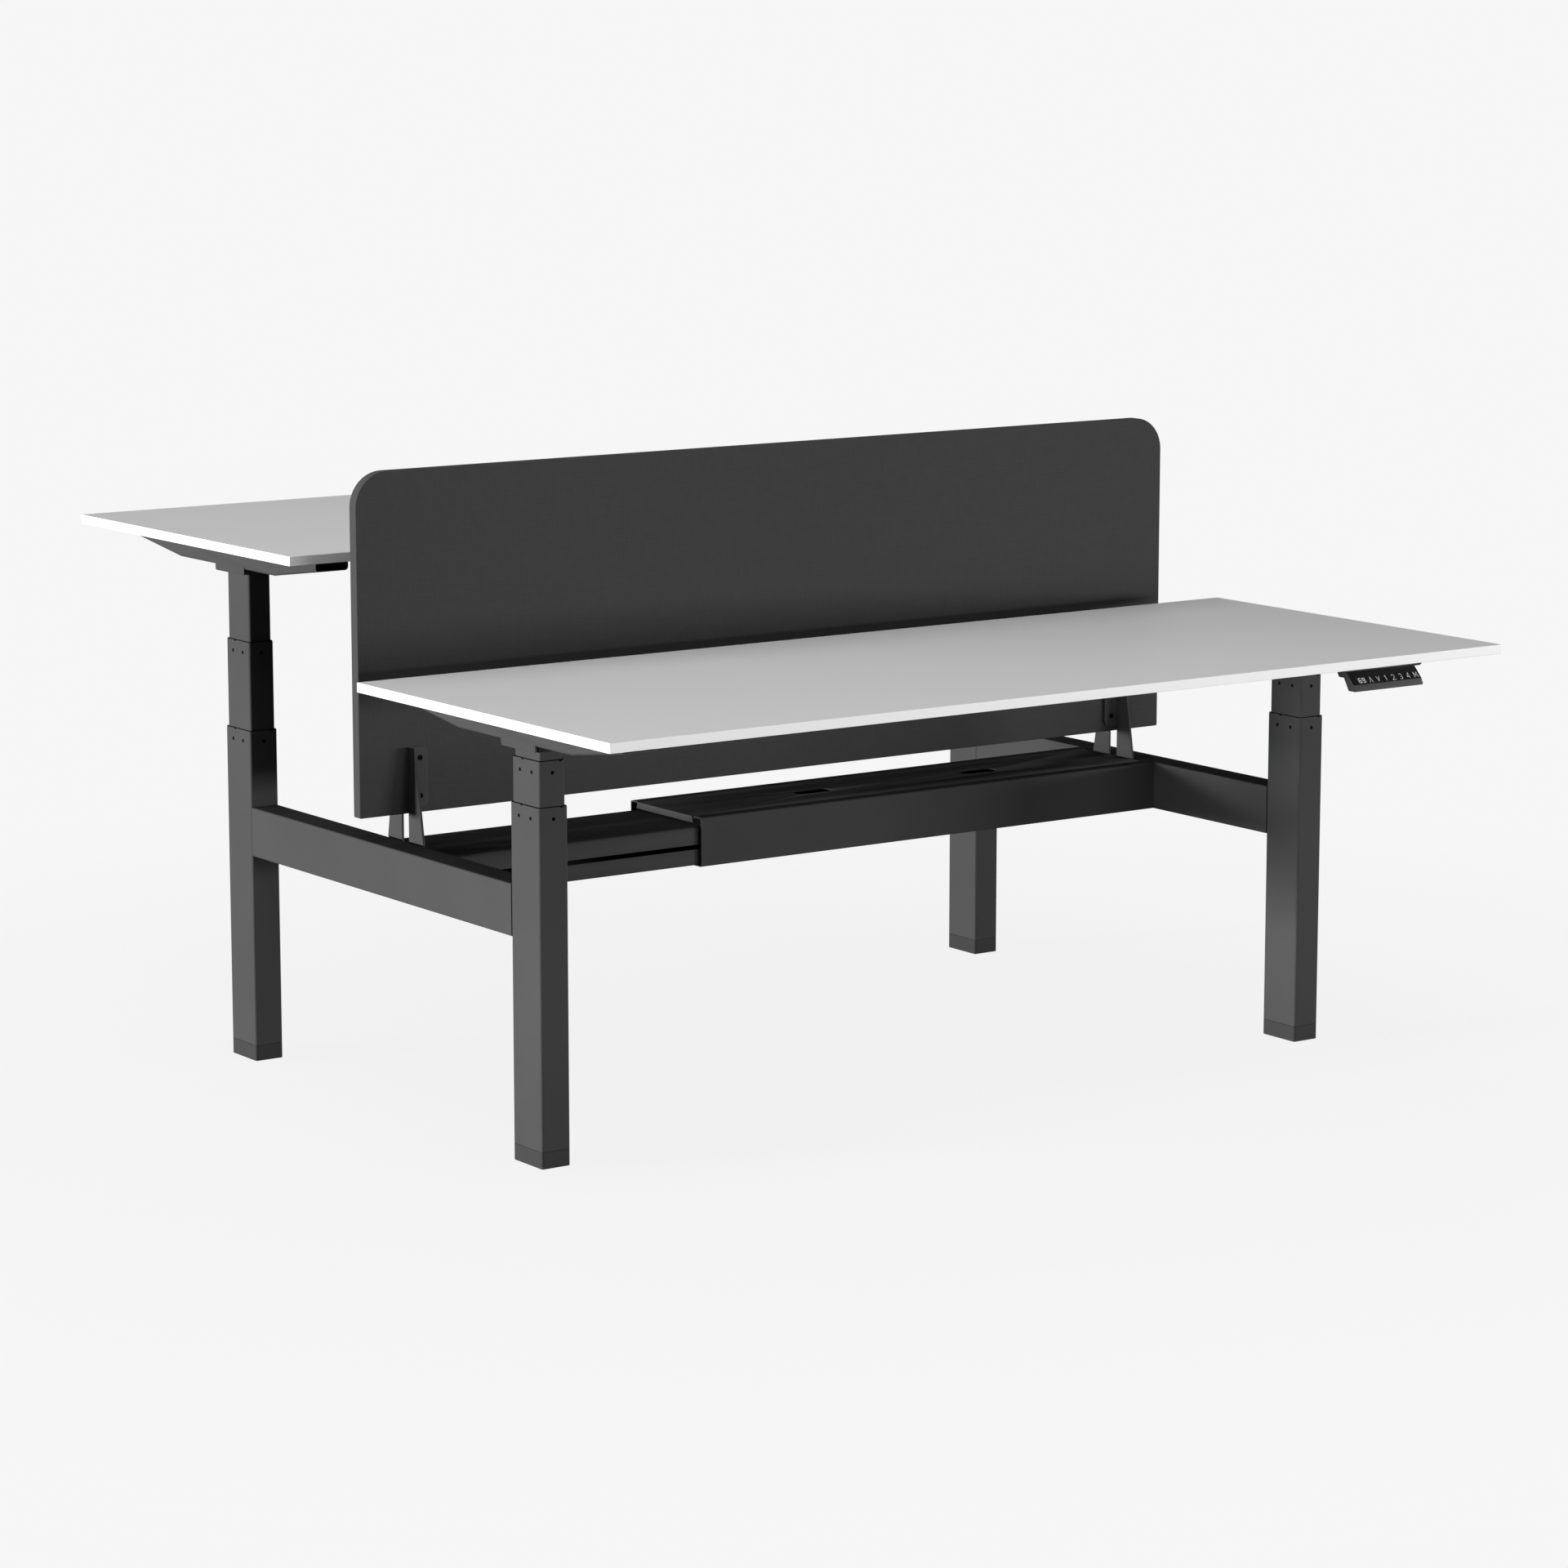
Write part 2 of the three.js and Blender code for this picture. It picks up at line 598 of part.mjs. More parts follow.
// Quarter bend of a folded sheet seen along the channel, from one angle to another.
function bend(centreX, centreZ, radius, from, to) {
  return Array.from({ length: CORNER_STEPS + 1 }, (_, step) => {
    const angle = from + ((to - from) * step) / CORNER_STEPS;
    return [centreX + radius * Math.cos(angle), centreZ + radius * Math.sin(angle)];
  });
}

// The hat section of the arm at one place along it.
function armSection(y, depth) {
  const wall = ARM_WIDTH / 2;
  const edge = wall + ARM_FLANGE;
  const inside = wall - ARM_SHEET;
  const bendX = wall - ARM_BEND_RADIUS;
  const bendZ = -depth + ARM_BEND_RADIUS;
  const innerRadius = ARM_BEND_RADIUS - ARM_SHEET;
  const outline = [
    [-edge, 0],
    [-edge, -ARM_SHEET],
    [-wall, -ARM_SHEET],
    ...bend(-bendX, bendZ, ARM_BEND_RADIUS, Math.PI, Math.PI * 1.5),
    ...bend(bendX, bendZ, ARM_BEND_RADIUS, Math.PI * 1.5, Math.PI * 2),
    [wall, -ARM_SHEET],
    [edge, -ARM_SHEET],
    [edge, 0],
    [inside, 0],
    ...bend(bendX, bendZ, innerRadius, Math.PI * 2, Math.PI * 1.5),
    ...bend(-bendX, bendZ, innerRadius, Math.PI * 1.5, Math.PI),
    [-inside, 0],
  ];
  return outline.map(([x, z]) => new THREE.Vector3(x, y, z));
}

// The arm about its column's axis: the channel, a skirt on each wall beside the column head
// and a window in its floor for the head.
function arm() {
  const channel = loft([
    armSection(-ARM_SHORT_REACH, ARM_END_DEPTH),
    armSection(-ARM_SHORT_FLAT, ARM_DEPTH),
    armSection(ARM_LONG_FLAT, ARM_DEPTH),
    armSection(ARM_LONG_REACH, ARM_END_DEPTH),
  ]).translate(0, 0, -SEAT_GAP);
  const skirtHeight = ARM_DEPTH / 2 + ARM_SKIRT_DROP;
  const skirtShape = roundedRectangle(ARM_SKIRT_LENGTH, skirtHeight, ARM_SKIRT_CORNER);
  const skirts = [-1, 1].map((side) =>
    alongX(skirtShape, ARM_SHEET).translate(
      (side * (ARM_WIDTH - ARM_SHEET)) / 2,
      ARM_SKIRT_OFFSET,
      skirtHeight / 2 + HEAD_UNDERSIDE - SEAT_GAP,
    ),
  );
  const windowWidth = ARM_WIDTH - 2 * ARM_BEND_RADIUS;
  const window = box(windowWidth, HEAD_WINDOW_LENGTH, 2 * ARM_BEND_RADIUS, 0, 0, -ARM_DEPTH);
  return cut(join([channel, ...skirts]), [window]);
}

// The gear head, whose flange sits on the arm's floor and whose spigot passes through the window,
// with the round motor lying along the arm.
function gearMotor() {
  const floor = -ARM_DEPTH + ARM_SHEET;
  const flangeWidth = ARM_WIDTH - 2 * (ARM_SHEET + HEAD_SIDE_CLEARANCE);
  const top = -HEAD_TOP_CLEARANCE;
  const corner = ARM_BEND_RADIUS - ARM_SHEET;
  const flangeHeight = top - floor;
  const flange = alongY(roundedRectangle(flangeWidth, flangeHeight, corner), HEAD_FLANGE_LENGTH);
  flange.translate(0, 0, floor + flangeHeight / 2);
  const spigotWidth = ARM_WIDTH - 2 * (ARM_BEND_RADIUS + HEAD_SIDE_CLEARANCE);
  const spigotLength = HEAD_WINDOW_LENGTH - 2 * HEAD_SIDE_CLEARANCE;
  const spigotHeight = floor - HEAD_UNDERSIDE + flangeHeight / 2;
  const spigotShape = roundedRectangle(spigotWidth, spigotLength, corner);
  const spigot = alongZ(spigotShape, spigotHeight).translate(0, 0, HEAD_UNDERSIDE + spigotHeight / 2);
  const motorZ = floor + flangeHeight / 2;
  const motorStart = HEAD_FLANGE_LENGTH / 2;
  const canY = motorStart + MOTOR_LENGTH / 2 - CUT_MARGIN;
  const can = roundBar(MOTOR_DIAMETER, MOTOR_LENGTH).translate(0, canY, motorZ);
  const noseY = motorStart + MOTOR_LENGTH + MOTOR_NOSE_LENGTH / 2 - 2 * CUT_MARGIN;
  const nose = roundBar(MOTOR_NOSE_DIAMETER, MOTOR_NOSE_LENGTH).translate(0, noseY, motorZ);
  return join([flange, spigot, can, nose]);
}

function leadScrew() {
  const top = HEAD_UNDERSIDE - SEAT_GAP;
  return roundBar(SCREW_DIAMETER, SCREW_LENGTH).rotateX(Math.PI / 2).translate(0, 0, top - SCREW_LENGTH / 2);
}

function crossbar() {
  const length = LEG_SPAN - ARM_WIDTH - 2 * SEAT_GAP;
  const profile = hollowRectangle(CROSSBAR_WIDTH, CROSSBAR_HEIGHT, CROSSBAR_WALL, CROSSBAR_CORNER);
  return alongX(profile, length).translate(0, 0, -CROSSBAR_DROP - CROSSBAR_HEIGHT / 2);
}

// Moulded case with a screw ear at each end, cooling ribs below, and a power inlet
// and sockets in one side.
function controlBox() {
  const body = alongX(roundedRectangle(BOX_DEPTH, BOX_HEIGHT, BOX_CORNER), BOX_LENGTH);
  const earSpan = BOX_LENGTH + 2 * BOX_EAR_LENGTH;
  const earShape = roundedRectangle(earSpan, BOX_EAR_WIDTH, BOX_CORNER);
  const ears = alongZ(earShape, BOX_EAR_THICKNESS).translate(0, 0, (BOX_HEIGHT - BOX_EAR_THICKNESS) / 2);
  const ribs = Array.from({ length: BOX_RIB_COUNT }, (_, index) => {
    const x = (index - (BOX_RIB_COUNT - 1) / 2) * BOX_RIB_PITCH;
    const depth = BOX_DEPTH - 2 * BOX_CORNER;
    return box(BOX_RIB_WIDTH, depth, 2 * BOX_RIB_HEIGHT, x, 0, -BOX_HEIGHT / 2);
  });
  const front = -BOX_DEPTH / 2;
  const inlet = box(INLET_WIDTH, 2 * INLET_DEPTH, INLET_HEIGHT, INLET_WIDTH - BOX_LENGTH / 2, front, 0);
  const sockets = Array.from({ length: SOCKET_COUNT }, (_, index) =>
    box(SOCKET_WIDTH, 2 * INLET_DEPTH, SOCKET_HEIGHT, index * SOCKET_PITCH, front, 0),
  );
  const cased = cut(join([body, ears, ...ribs]), [inlet, ...sockets]);
  return cased.translate(0, 0, -SEAT_GAP - BOX_HEIGHT / 2);
}

// Places on the sloping face: the origin is the left end of the face's upper edge,
// +X runs along it, -Y down the slope and +Z out of it.
function faceFrame() {
  return new THREE.Matrix4()
    .makeTranslation(-HANDSET_WIDTH / 2, 0, -HANDSET_FACE_TOP_DROP)
    .multiply(new THREE.Matrix4().makeRotationX(FACE_TILT));
}

function keyPlace(index) {
  return FIRST_KEY_PLACE + index * KEY_PITCH;
}

function handset() {
  const bandTop = -HANDSET_FACE_TOP_DROP - HANDSET_FACE_FALL;
  const front = -HANDSET_FACE_RUN - HANDSET_BAND_RUN;
  const profile = polygon([
    [HANDSET_PLATE_REACH, -SEAT_GAP],
    [0, -SEAT_GAP],
    [0, -HANDSET_FACE_TOP_DROP],
    [-HANDSET_FACE_RUN, bandTop],
    [front, bandTop - HANDSET_BAND_FALL],
    [front, -HANDSET_DROP],
    [front + HANDSET_BOTTOM_DEPTH, -HANDSET_DROP],
    [HANDSET_BACK_REACH, -HANDSET_NECK_DROP],
    [HANDSET_NECK_REACH, -HANDSET_NECK_DROP],
    [HANDSET_NECK_REACH + HANDSET_PLATE_THICKNESS, -HANDSET_PLATE_THICKNESS],
    [HANDSET_PLATE_REACH, -HANDSET_PLATE_THICKNESS],
  ]);
  const toFace = faceFrame();
  const pocketWidth = KEY_WIDTH + 2 * KEY_CLEARANCE;
  const pocketHeight = KEY_HEIGHT + 2 * KEY_CLEARANCE;
  const pockets = KEY_NAMES.map((_, index) =>
    alongZ(roundedRectangle(pocketWidth, pocketHeight, KEY_CORNER), 2 * POCKET_DEPTH)
      .translate(keyPlace(index), -KEY_DOWN_THE_FACE, 0)
      .applyMatrix4(toFace),
  );
  const window = box(DISPLAY_WIDTH, DISPLAY_HEIGHT, 2 * DISPLAY_RECESS, DISPLAY_PLACE, -KEY_DOWN_THE_FACE, 0);
  return cut(alongX(profile, HANDSET_WIDTH), [...pockets, window.applyMatrix4(toFace)]);
}

function keyCap() {
  const rounded = (width, height) => roundedRectangle(width, height, KEY_CORNER - KEY_EDGE_BEVEL);
  const cap = bevelledPlate(rounded, KEY_WIDTH, KEY_HEIGHT, KEY_THICKNESS, KEY_EDGE_BEVEL);
  return cap.translate(0, 0, KEY_PROUD - KEY_THICKNESS);
}

function desktop() {
  const square = (width, height) => {
    const x = width / 2;
    const y = height / 2;
    return polygon([[-x, -y], [x, -y], [x, y], [-x, y]]);
  };
  return bevelledPlate(square, TOP_LENGTH, TOP_DEPTH, TOP_THICKNESS, TOP_EDGE_BEVEL);
}

function buildHandset(side) {
  const group = new THREE.Group();
  group.add(piece(`handset_${side}`, "plastic", handset()));
  const face = new THREE.Group();
  face.applyMatrix4(faceFrame());
  KEY_NAMES.forEach((name, index) => {
    const key = piece(`key_${name}_${side}`, "plastic", keyCap());
    key.position.set(keyPlace(index), -KEY_DOWN_THE_FACE, 0);
    face.add(key);
  });
  group.add(face);
  return group;
}

// One side of the bench: two columns and the desk that they carry. It is drawn as the near side,
// and the far side is the same turned half round, so its left column stands at the right end.
// The arms are turned back again: on both desks their longer ends point to the far side.
function buildSide({ side, rise, turn, ends }) {
  const group = new THREE.Group();
  const desk = new THREE.Group();
  desk.position.z = LOWEST_UNDERSIDE + rise;
  group.add(desk);

  [-1, 1].forEach((sign, index) => {
    const place = `${side}_${ends[index]}`;
    const column = new THREE.Group();
    column.position.set((sign * LEG_SPAN) / 2, -LEG_Y, 0);
    column.add(piece(`foot_cap_${place}`, "plastic", footCap()));
    column.add(piece(`outer_tube_${place}`, "steel", outerTube()));
    column.add(piece(`mid_tube_${place}`, "steel", midTube(rise)));
    column.add(piece(`inner_tube_${place}`, "steel", innerTube(rise)));
    group.add(column);

    const head = new THREE.Group();
    head.position.set((sign * LEG_SPAN) / 2, -LEG_Y, 0);
    head.rotation.z = -turn;
    head.add(piece(`arm_${place}`, "steel", arm()));
    head.add(piece(`gear_motor_${place}`, "bright", gearMotor()));
    head.add(piece(`lead_screw_${place}`, "bright", leadScrew()));
    desk.add(head);
  });

  const top = piece(`desktop_${side}`, "board", desktop());
  top.position.y = -(DESK_GAP + TOP_DEPTH) / 2;
  desk.add(top);
  const bar = piece(`crossbar_${side}`, "steel", crossbar());
  bar.position.y = -LEG_Y;
  desk.add(bar);
  const control = piece(`control_box_${side}`, "plastic", controlBox());
  control.position.set(BOX_PLACE_X, BOX_PLACE_FROM_LEGS - LEG_Y, 0);
  desk.add(control);
  const keypad = buildHandset(side);
  keypad.position.set(TOP_LENGTH / 2 - HANDSET_FROM_END, -DESK_GAP / 2 - TOP_DEPTH, 0);
  desk.add(keypad);

  group.rotation.z = turn;
  return group;
}

const bench = new THREE.Group();
bench.add(buildFrame());
bench.add(buildSide({ side: "near", rise: NEAR_RISE, turn: 0, ends: ["left", "right"] }));
bench.add(buildSide({ side: "far", rise: FAR_RISE, turn: Math.PI, ends: ["right", "left"] }));

export default bench;
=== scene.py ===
"""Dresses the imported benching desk: two sit-stand desks face to face on one open steel frame."""

import logging
import math
from dataclasses import dataclass, field
from enum import Enum
from typing import Any, Iterable, Sequence

import bmesh
import bpy
import numpy as np
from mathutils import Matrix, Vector


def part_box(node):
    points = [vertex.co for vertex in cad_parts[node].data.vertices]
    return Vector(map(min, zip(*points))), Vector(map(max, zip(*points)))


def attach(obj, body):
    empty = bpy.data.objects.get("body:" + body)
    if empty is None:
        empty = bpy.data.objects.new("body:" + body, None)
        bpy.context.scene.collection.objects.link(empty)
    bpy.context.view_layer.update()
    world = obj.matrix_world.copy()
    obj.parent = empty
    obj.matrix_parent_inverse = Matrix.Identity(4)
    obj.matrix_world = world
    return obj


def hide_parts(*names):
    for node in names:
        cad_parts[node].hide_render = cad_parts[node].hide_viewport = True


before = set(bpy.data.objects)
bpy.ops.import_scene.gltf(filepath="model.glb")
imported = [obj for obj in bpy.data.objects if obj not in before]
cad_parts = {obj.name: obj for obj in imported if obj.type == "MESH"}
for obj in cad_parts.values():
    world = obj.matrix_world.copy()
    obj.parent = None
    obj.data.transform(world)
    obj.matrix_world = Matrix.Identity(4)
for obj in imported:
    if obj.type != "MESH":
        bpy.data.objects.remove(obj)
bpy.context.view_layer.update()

LOG = logging.getLogger("bench")
MM = 0.001
SMOOTH_ANGLE = math.radians(38)
FLAT_ANGLE = math.radians(0.5)
HARD_ANGLE = math.radians(50)
MERGE_DISTANCE = 0.01 * MM
QUARTER = math.pi / 2
WHITE = (1.0, 1.0, 1.0, 1.0)
PHOTO_WIDTH = 1920
Colour = tuple[float, float, float]
Place = tuple[float, float, float]


class Named(Enum):
    """Options whose names stand in the names of nodes and bodies."""

    @property
    def label(self) -> str:
        """The option's word in those names."""
        return self.name.lower()


class Side(Named):
    """The two desks: the value says how far the near desk's drawing is turned about Z."""

    NEAR = 0.0
    FAR = math.pi


class End(Named):
    """The two ends of the bench: the value is the sign of X."""

    LEFT = -1
    RIGHT = 1


class Tube(Named):
    """The tubes of a column, from the outside in."""

    OUTER = 0
    MID = 1
    INNER = 2


class Axis(Enum):
    """The axes, by their place in a vector."""

    X = 0
    Y = 1
    Z = 2


class Slot(Enum):
    """The record's material slots."""

    STEEL = "coated_steel"
    BOARD = "desktop_board"
    FOOT = "foot_plastic"
    SCREEN = "screen_fabric"
    MOTOR = "motor_metal"
    SCREW = "screw_steel"
    HANDSET = "handset_plastic"
    KEY = "key_plastic"
    BOX = "box_plastic"


# Shader graphs


class Signal:
    """A shader socket that takes part in Python arithmetic."""

    def __init__(self, graph: "Graph", socket: bpy.types.NodeSocket) -> None:
        """Keeps the graph that the socket belongs to."""
        self.graph = graph
        self.socket = socket

    def math(self, operation: str, *others: Any) -> "Signal":
        """Adds a Math node.

        Args:
            operation: The Math node's operation.
            others: Numbers or signals that follow this one.

        Returns:
            The node's result.
        """
        inputs = dict(enumerate((self, *others)))
        return self.graph.node("ShaderNodeMath", {"operation": operation}, inputs)

    def __add__(self, other: Any) -> "Signal":
        """The sum of two signals."""
        return self.math("ADD", other)

    __radd__ = __add__

    def __mul__(self, other: Any) -> "Signal":
        """The product of two signals."""
        return self.math("MULTIPLY", other)

    __rmul__ = __mul__

    def __sub__(self, other: Any) -> "Signal":
        """The difference of two signals."""
        return self.math("SUBTRACT", other)

    def __rsub__(self, other: float) -> "Signal":
        """A number less this signal."""
        return (self * -1.0) + other

    def __pow__(self, power: float) -> "Signal":
        """This signal raised to a power."""
        return self.math("POWER", power)

    def sine(self) -> "Signal":
        """The sine of this signal."""
        return self.math("SINE")

    def step(self, low: float, high: float) -> "Signal":
        """A smooth step.

        Args:
            low: Where it leaves 0.
            high: Where it reaches 1.

        Returns:
            The step.
        """
        settings = {"interpolation_type": "SMOOTHSTEP"}
        inputs = {"Value": self, "From Min": low, "From Max": high}
        return self.graph.node("ShaderNodeMapRange", settings, inputs)


class Graph:
    """A node tree that is filled from Python expressions."""

    def __init__(self, tree: bpy.types.NodeTree) -> None:
        """Empties the tree."""
        self.tree = tree
        tree.nodes.clear()

    def node(self, kind: str, settings: dict[str, Any] | None = None,
             inputs: dict[Any, Any] | None = None, output: Any = 0) -> Signal:
        """Adds any node.

        Args:
            kind: The node's type.
            settings: Properties of the node, set first.
            inputs: Values or signals by socket name or number.
            output: The name or number of the socket to return.

        Returns:
            The node's output.
        """
        made = self.tree.nodes.new(kind)
        for name, value in (settings or {}).items():
            setattr(made, name, value)
        for name, value in (inputs or {}).items():
            if isinstance(value, Signal):
                self.tree.links.new(value.socket, made.inputs[name])
            else:
                made.inputs[name].default_value = value
        outputs = made.outputs
        return Signal(self, outputs[output] if len(outputs) else None)

    def place(self) -> Signal:
        """Object coordinates, in metres."""
        return self.node("ShaderNodeTexCoord", output="Object")

    def axes(self) -> tuple[Signal, Signal, Signal]:
        """Takes the object coordinates apart.

        Returns:
            X, Y and Z.
        """
        place = self.place()
        return tuple(
            self.node("ShaderNodeSeparateXYZ", inputs={0: place}, output=axis) for axis in "XYZ"
        )

    def noise(self, grain: float, detail: float = 2.0, stretch: Place = (1, 1, 1)) -> Signal:
        """Soft noise.

        Args:
            grain: The size of its features in metres.
            detail: Its octaves.
            stretch: How many times finer it is along each axis.

        Returns:
            Its value, about 0.5.
        """
        vector = self.node("ShaderNodeMapping", inputs={"Vector": self.place(), "Scale": stretch})
        inputs = {"Vector": vector, "Scale": 1 / grain, "Detail": detail}
        return self.node("ShaderNodeTexNoise", {"noise_dimensions": "3D"}, inputs)

    def blend(self, factor: Any, first: Any, second: Any) -> Signal:
        """A mix of two colours.

        Args:
            factor: The second colour's share, from 0 to 1.
            first: The first colour.
            second: The second colour.

        Returns:
            The mixed colour.
        """
        inputs = {0: factor}
        for number, colour in ((6, first), (7, second)):
            inputs[number] = colour if isinstance(colour, Signal) else (*colour, 1.0)
        return self.node("ShaderNodeMix", {"data_type": "RGBA"}, inputs, output=2)

    def bump(self, height: Signal, depth: float, strength: float) -> Signal:
        """A normal bent by a height signal.

        Args:
            height: From 0 to 1.
            depth: The height of 1 in metres.
            strength: How much of it shows.

        Returns:
            The normal.
        """
        inputs = {"Height": height, "Distance": depth, "Strength": strength}
        return self.node("ShaderNodeBump", inputs=inputs)

    def close(self, surface: Signal, world: bool = False) -> None:
        """Joins a shader to the tree's output."""
        kind = "ShaderNodeOutputWorld" if world else "ShaderNodeOutputMaterial"
        self.node(kind, inputs={"Surface": surface})


class Finish:
    """A finish whose material is made once."""

    colour: Colour
    _made: dict["Finish", bpy.types.Material] = {}

    def material(self) -> bpy.types.Material:
        """The finish's material, made at its first use.

        Returns:
            The material.
        """
        if self not in Finish._made:
            made = bpy.data.materials.new(type(self).__name__)
            made.use_nodes = True
            graph = Graph(made.node_tree)
            shader = graph.node("ShaderNodeBsdfPrincipled", inputs=self.inputs(graph))
            graph.close(shader)
            Finish._made[self] = made
        return Finish._made[self]

    def inputs(self, graph: Graph) -> dict[str, Any]:
        """The shader's inputs.

        Args:
            graph: The material's graph.

        Returns:
            Values or signals by socket name.
        """
        raise NotImplementedError

    def shade(self, factor: float) -> Colour:
        """The finish's colour made lighter or darker."""
        return tuple(min(1.0, channel * factor) for channel in self.colour)

    def tone(self, graph: Graph, factor: Signal, dark: float, light: float) -> Signal:
        """The finish's colour, varied by a factor between a darker and a lighter shade."""
        return graph.blend(factor, self.shade(dark), self.shade(light))


@dataclass(frozen=True)
class PowderCoat(Finish):
    """Matt powder coat: a fine orange-peel skin with faint clouds in its tone."""

    colour: Colour = (0.045, 0.045, 0.0455)
    roughness: float = 0.7
    specular: float = 0.001
    peel: float = 0.0011
    speck: float = 0.0003
    cloud: float = 0.16

    def inputs(self, graph: Graph) -> dict[str, Any]:
        """The skin's peel and specks drive bump and roughness, the clouds its tone.

        Args:
            graph: The material's graph.

        Returns:
            Values or signals by socket name.
        """
        peel = graph.noise(self.peel, 2.0)
        speck = graph.noise(self.speck, 1.0)
        cloud = graph.noise(self.cloud, 3.0)
        tone = self.tone(graph, cloud, 0.9, 1.1)
        tone = graph.blend(speck.step(0.58, 0.75) * 0.5, tone, self.shade(1.5))
        return {
            "Base Color": tone,
            "Roughness": self.roughness + (peel - 0.5) * 0.16 + (cloud - 0.5) * 0.1,
            "Specular IOR Level": self.specular,
            "Normal": graph.bump(peel * 0.7 + speck * 0.3, 0.00006, 0.35),
        }


@dataclass(frozen=True)
class Moulding(Finish):
    """Moulded plastic with a spark-eroded grain."""

    colour: Colour = (0.022, 0.022, 0.0225)
    roughness: float = 0.55
    specular: float = 0.35
    grain: float = 0.0006
    flow: float = 0.03

    def inputs(self, graph: Graph) -> dict[str, Any]:
        """The grain drives bump and roughness, and faint flow marks its tone.

        Args:
            graph: The material's graph.

        Returns:
            Values or signals by socket name.
        """
        grain = graph.noise(self.grain, 3.0)
        flow = graph.noise(self.flow, 2.0, (1, 3, 3))
        return {
            "Base Color": self.tone(graph, flow, 0.88, 1.14),
            "Roughness": self.roughness + (grain - 0.5) * 0.2 + (flow - 0.5) * 0.08,
            "Specular IOR Level": self.specular,
            "Normal": graph.bump(grain, 0.00008, 0.4),
        }


@dataclass(frozen=True)
class BoardFace(Finish):
    """Melamine face of a board: pale grey with a fine pressed texture."""

    colour: Colour = (0.66, 0.66, 0.66)
    roughness: float = 0.6
    fleck: float = 0.0016
    cloud: float = 0.22

    def inputs(self, graph: Graph) -> dict[str, Any]:
        """Fine flecks and slow clouds vary the grey, and the press texture gives bump.

        Args:
            graph: The material's graph.

        Returns:
            Values or signals by socket name.
        """
        fleck = graph.noise(self.fleck, 3.0)
        cloud = graph.noise(self.cloud, 2.0)
        tone = self.tone(graph, cloud, 0.985, 1.015)
        tone = graph.blend(fleck.step(0.35, 0.75) * 0.35, tone, self.shade(0.93))
        return {
            "Base Color": tone,
            "Roughness": self.roughness + (fleck - 0.5) * 0.14,
            "Specular IOR Level": 0.1,
            "Normal": graph.bump(fleck, 0.00005, 0.3),
        }


@dataclass(frozen=True)
class EdgeBand(Finish):
    """White edge band of a board, with the faint lines of its milling."""

    colour: Colour = (0.61, 0.61, 0.61)
    line: float = 0.004

    def inputs(self, graph: Graph) -> dict[str, Any]:
        """Lines along the edge vary roughness and tone a little.

        Args:
            graph: The material's graph.

        Returns:
            Values or signals by socket name.
        """
        line = graph.noise(self.line, 2.0, (0.05, 0.05, 6))
        return {
            "Base Color": self.tone(graph, line, 0.98, 1.02),
            "Roughness": 0.5 + (line - 0.5) * 0.2,
            "Specular IOR Level": 0.3,
            "Normal": graph.bump(line, 0.00004, 0.3),
        }


@dataclass(frozen=True)
class ScreenCloth(Finish):
    """Charcoal cloth in a plain weave, its yarns mixed from two greys."""

    colour: Colour = (0.039, 0.039, 0.0393)
    pitch: float = 0.0014
    yarn: float = 0.0016

    def inputs(self, graph: Graph) -> dict[str, Any]:
        """Sines of X and Z cross as warp and weft; noise mixes the yarns and lifts fibres.

        Args:
            graph: The material's graph.

        Returns:
            Values or signals by socket name.
        """
        along, _, up = graph.axes()
        turns = 2 * math.pi / self.pitch
        weave = (along * turns).sine() * (up * turns).sine() * 0.5 + 0.5
        warp = graph.noise(self.yarn, 2.0, (1, 1, 0.06))
        weft = graph.noise(self.yarn, 2.0, (0.06, 1, 1))
        yarn = warp * 0.5 + weft * 0.5
        tone = self.tone(graph, yarn.step(0.3, 0.7), 0.93, 1.08)
        tone = graph.blend(weave * 0.2, tone, self.shade(0.8))
        return {
            "Base Color": tone,
            "Roughness": 0.9 + (yarn - 0.5) * 0.15,
            "Specular IOR Level": 0.05,
            "Sheen Weight": 0.02,
            "Normal": graph.bump(weave * 0.6 + yarn * 0.4, 0.0002, 0.25),
        }


@dataclass(frozen=True)
class CastMetal(Finish):
    """Black die-cast metal, grainy and a little stained; its near-black tone is partly the metal's
    own black and partly painted shade.
    """

    # Near-black: partly the gearbox's own black, partly painted shade of the dark channel between
    # the arms' skirts.
    colour: Colour = (0.012, 0.012, 0.0125)
    grain: float = 0.0009
    stain: float = 0.03

    def inputs(self, graph: Graph) -> dict[str, Any]:
        """Casting grain drives bump and roughness, and slow stains the tone.

        Args:
            graph: The material's graph.

        Returns:
            Values or signals by socket name.
        """
        grain = graph.noise(self.grain, 4.0)
        stain = graph.noise(self.stain, 3.0)
        return {
            "Base Color": self.tone(graph, stain, 0.8, 1.1),
            "Metallic": 0.4,
            "Roughness": 0.5 + (grain - 0.5) * 0.25,
            "Specular IOR Level": 0.1,
            "Normal": graph.bump(grain, 0.0001, 0.4),
        }


@dataclass(frozen=True)
class RolledSteel(Finish):
    """Rolled steel with a film of grease, or the plated steel of a screw."""

    colour: Colour = (0.45, 0.45, 0.46)
    roughness: float = 0.3
    streak: float = 0.0008
    film: float = 0.012

    def inputs(self, graph: Graph) -> dict[str, Any]:
        """Streaks along Z vary roughness, and a mottled film the tone.

        Args:
            graph: The material's graph.

        Returns:
            Values or signals by socket name.
        """
        streak = graph.noise(self.streak, 2.0, (1, 1, 0.1))
        film = graph.noise(self.film, 3.0)
        return {
            "Base Color": self.tone(graph, film, 0.75, 1.1),
            "Metallic": 1.0,
            "Roughness": self.roughness + (streak - 0.5) * 0.2 + (film - 0.5) * 0.15,
            "Normal": graph.bump(streak, 0.00003, 0.3),
        }


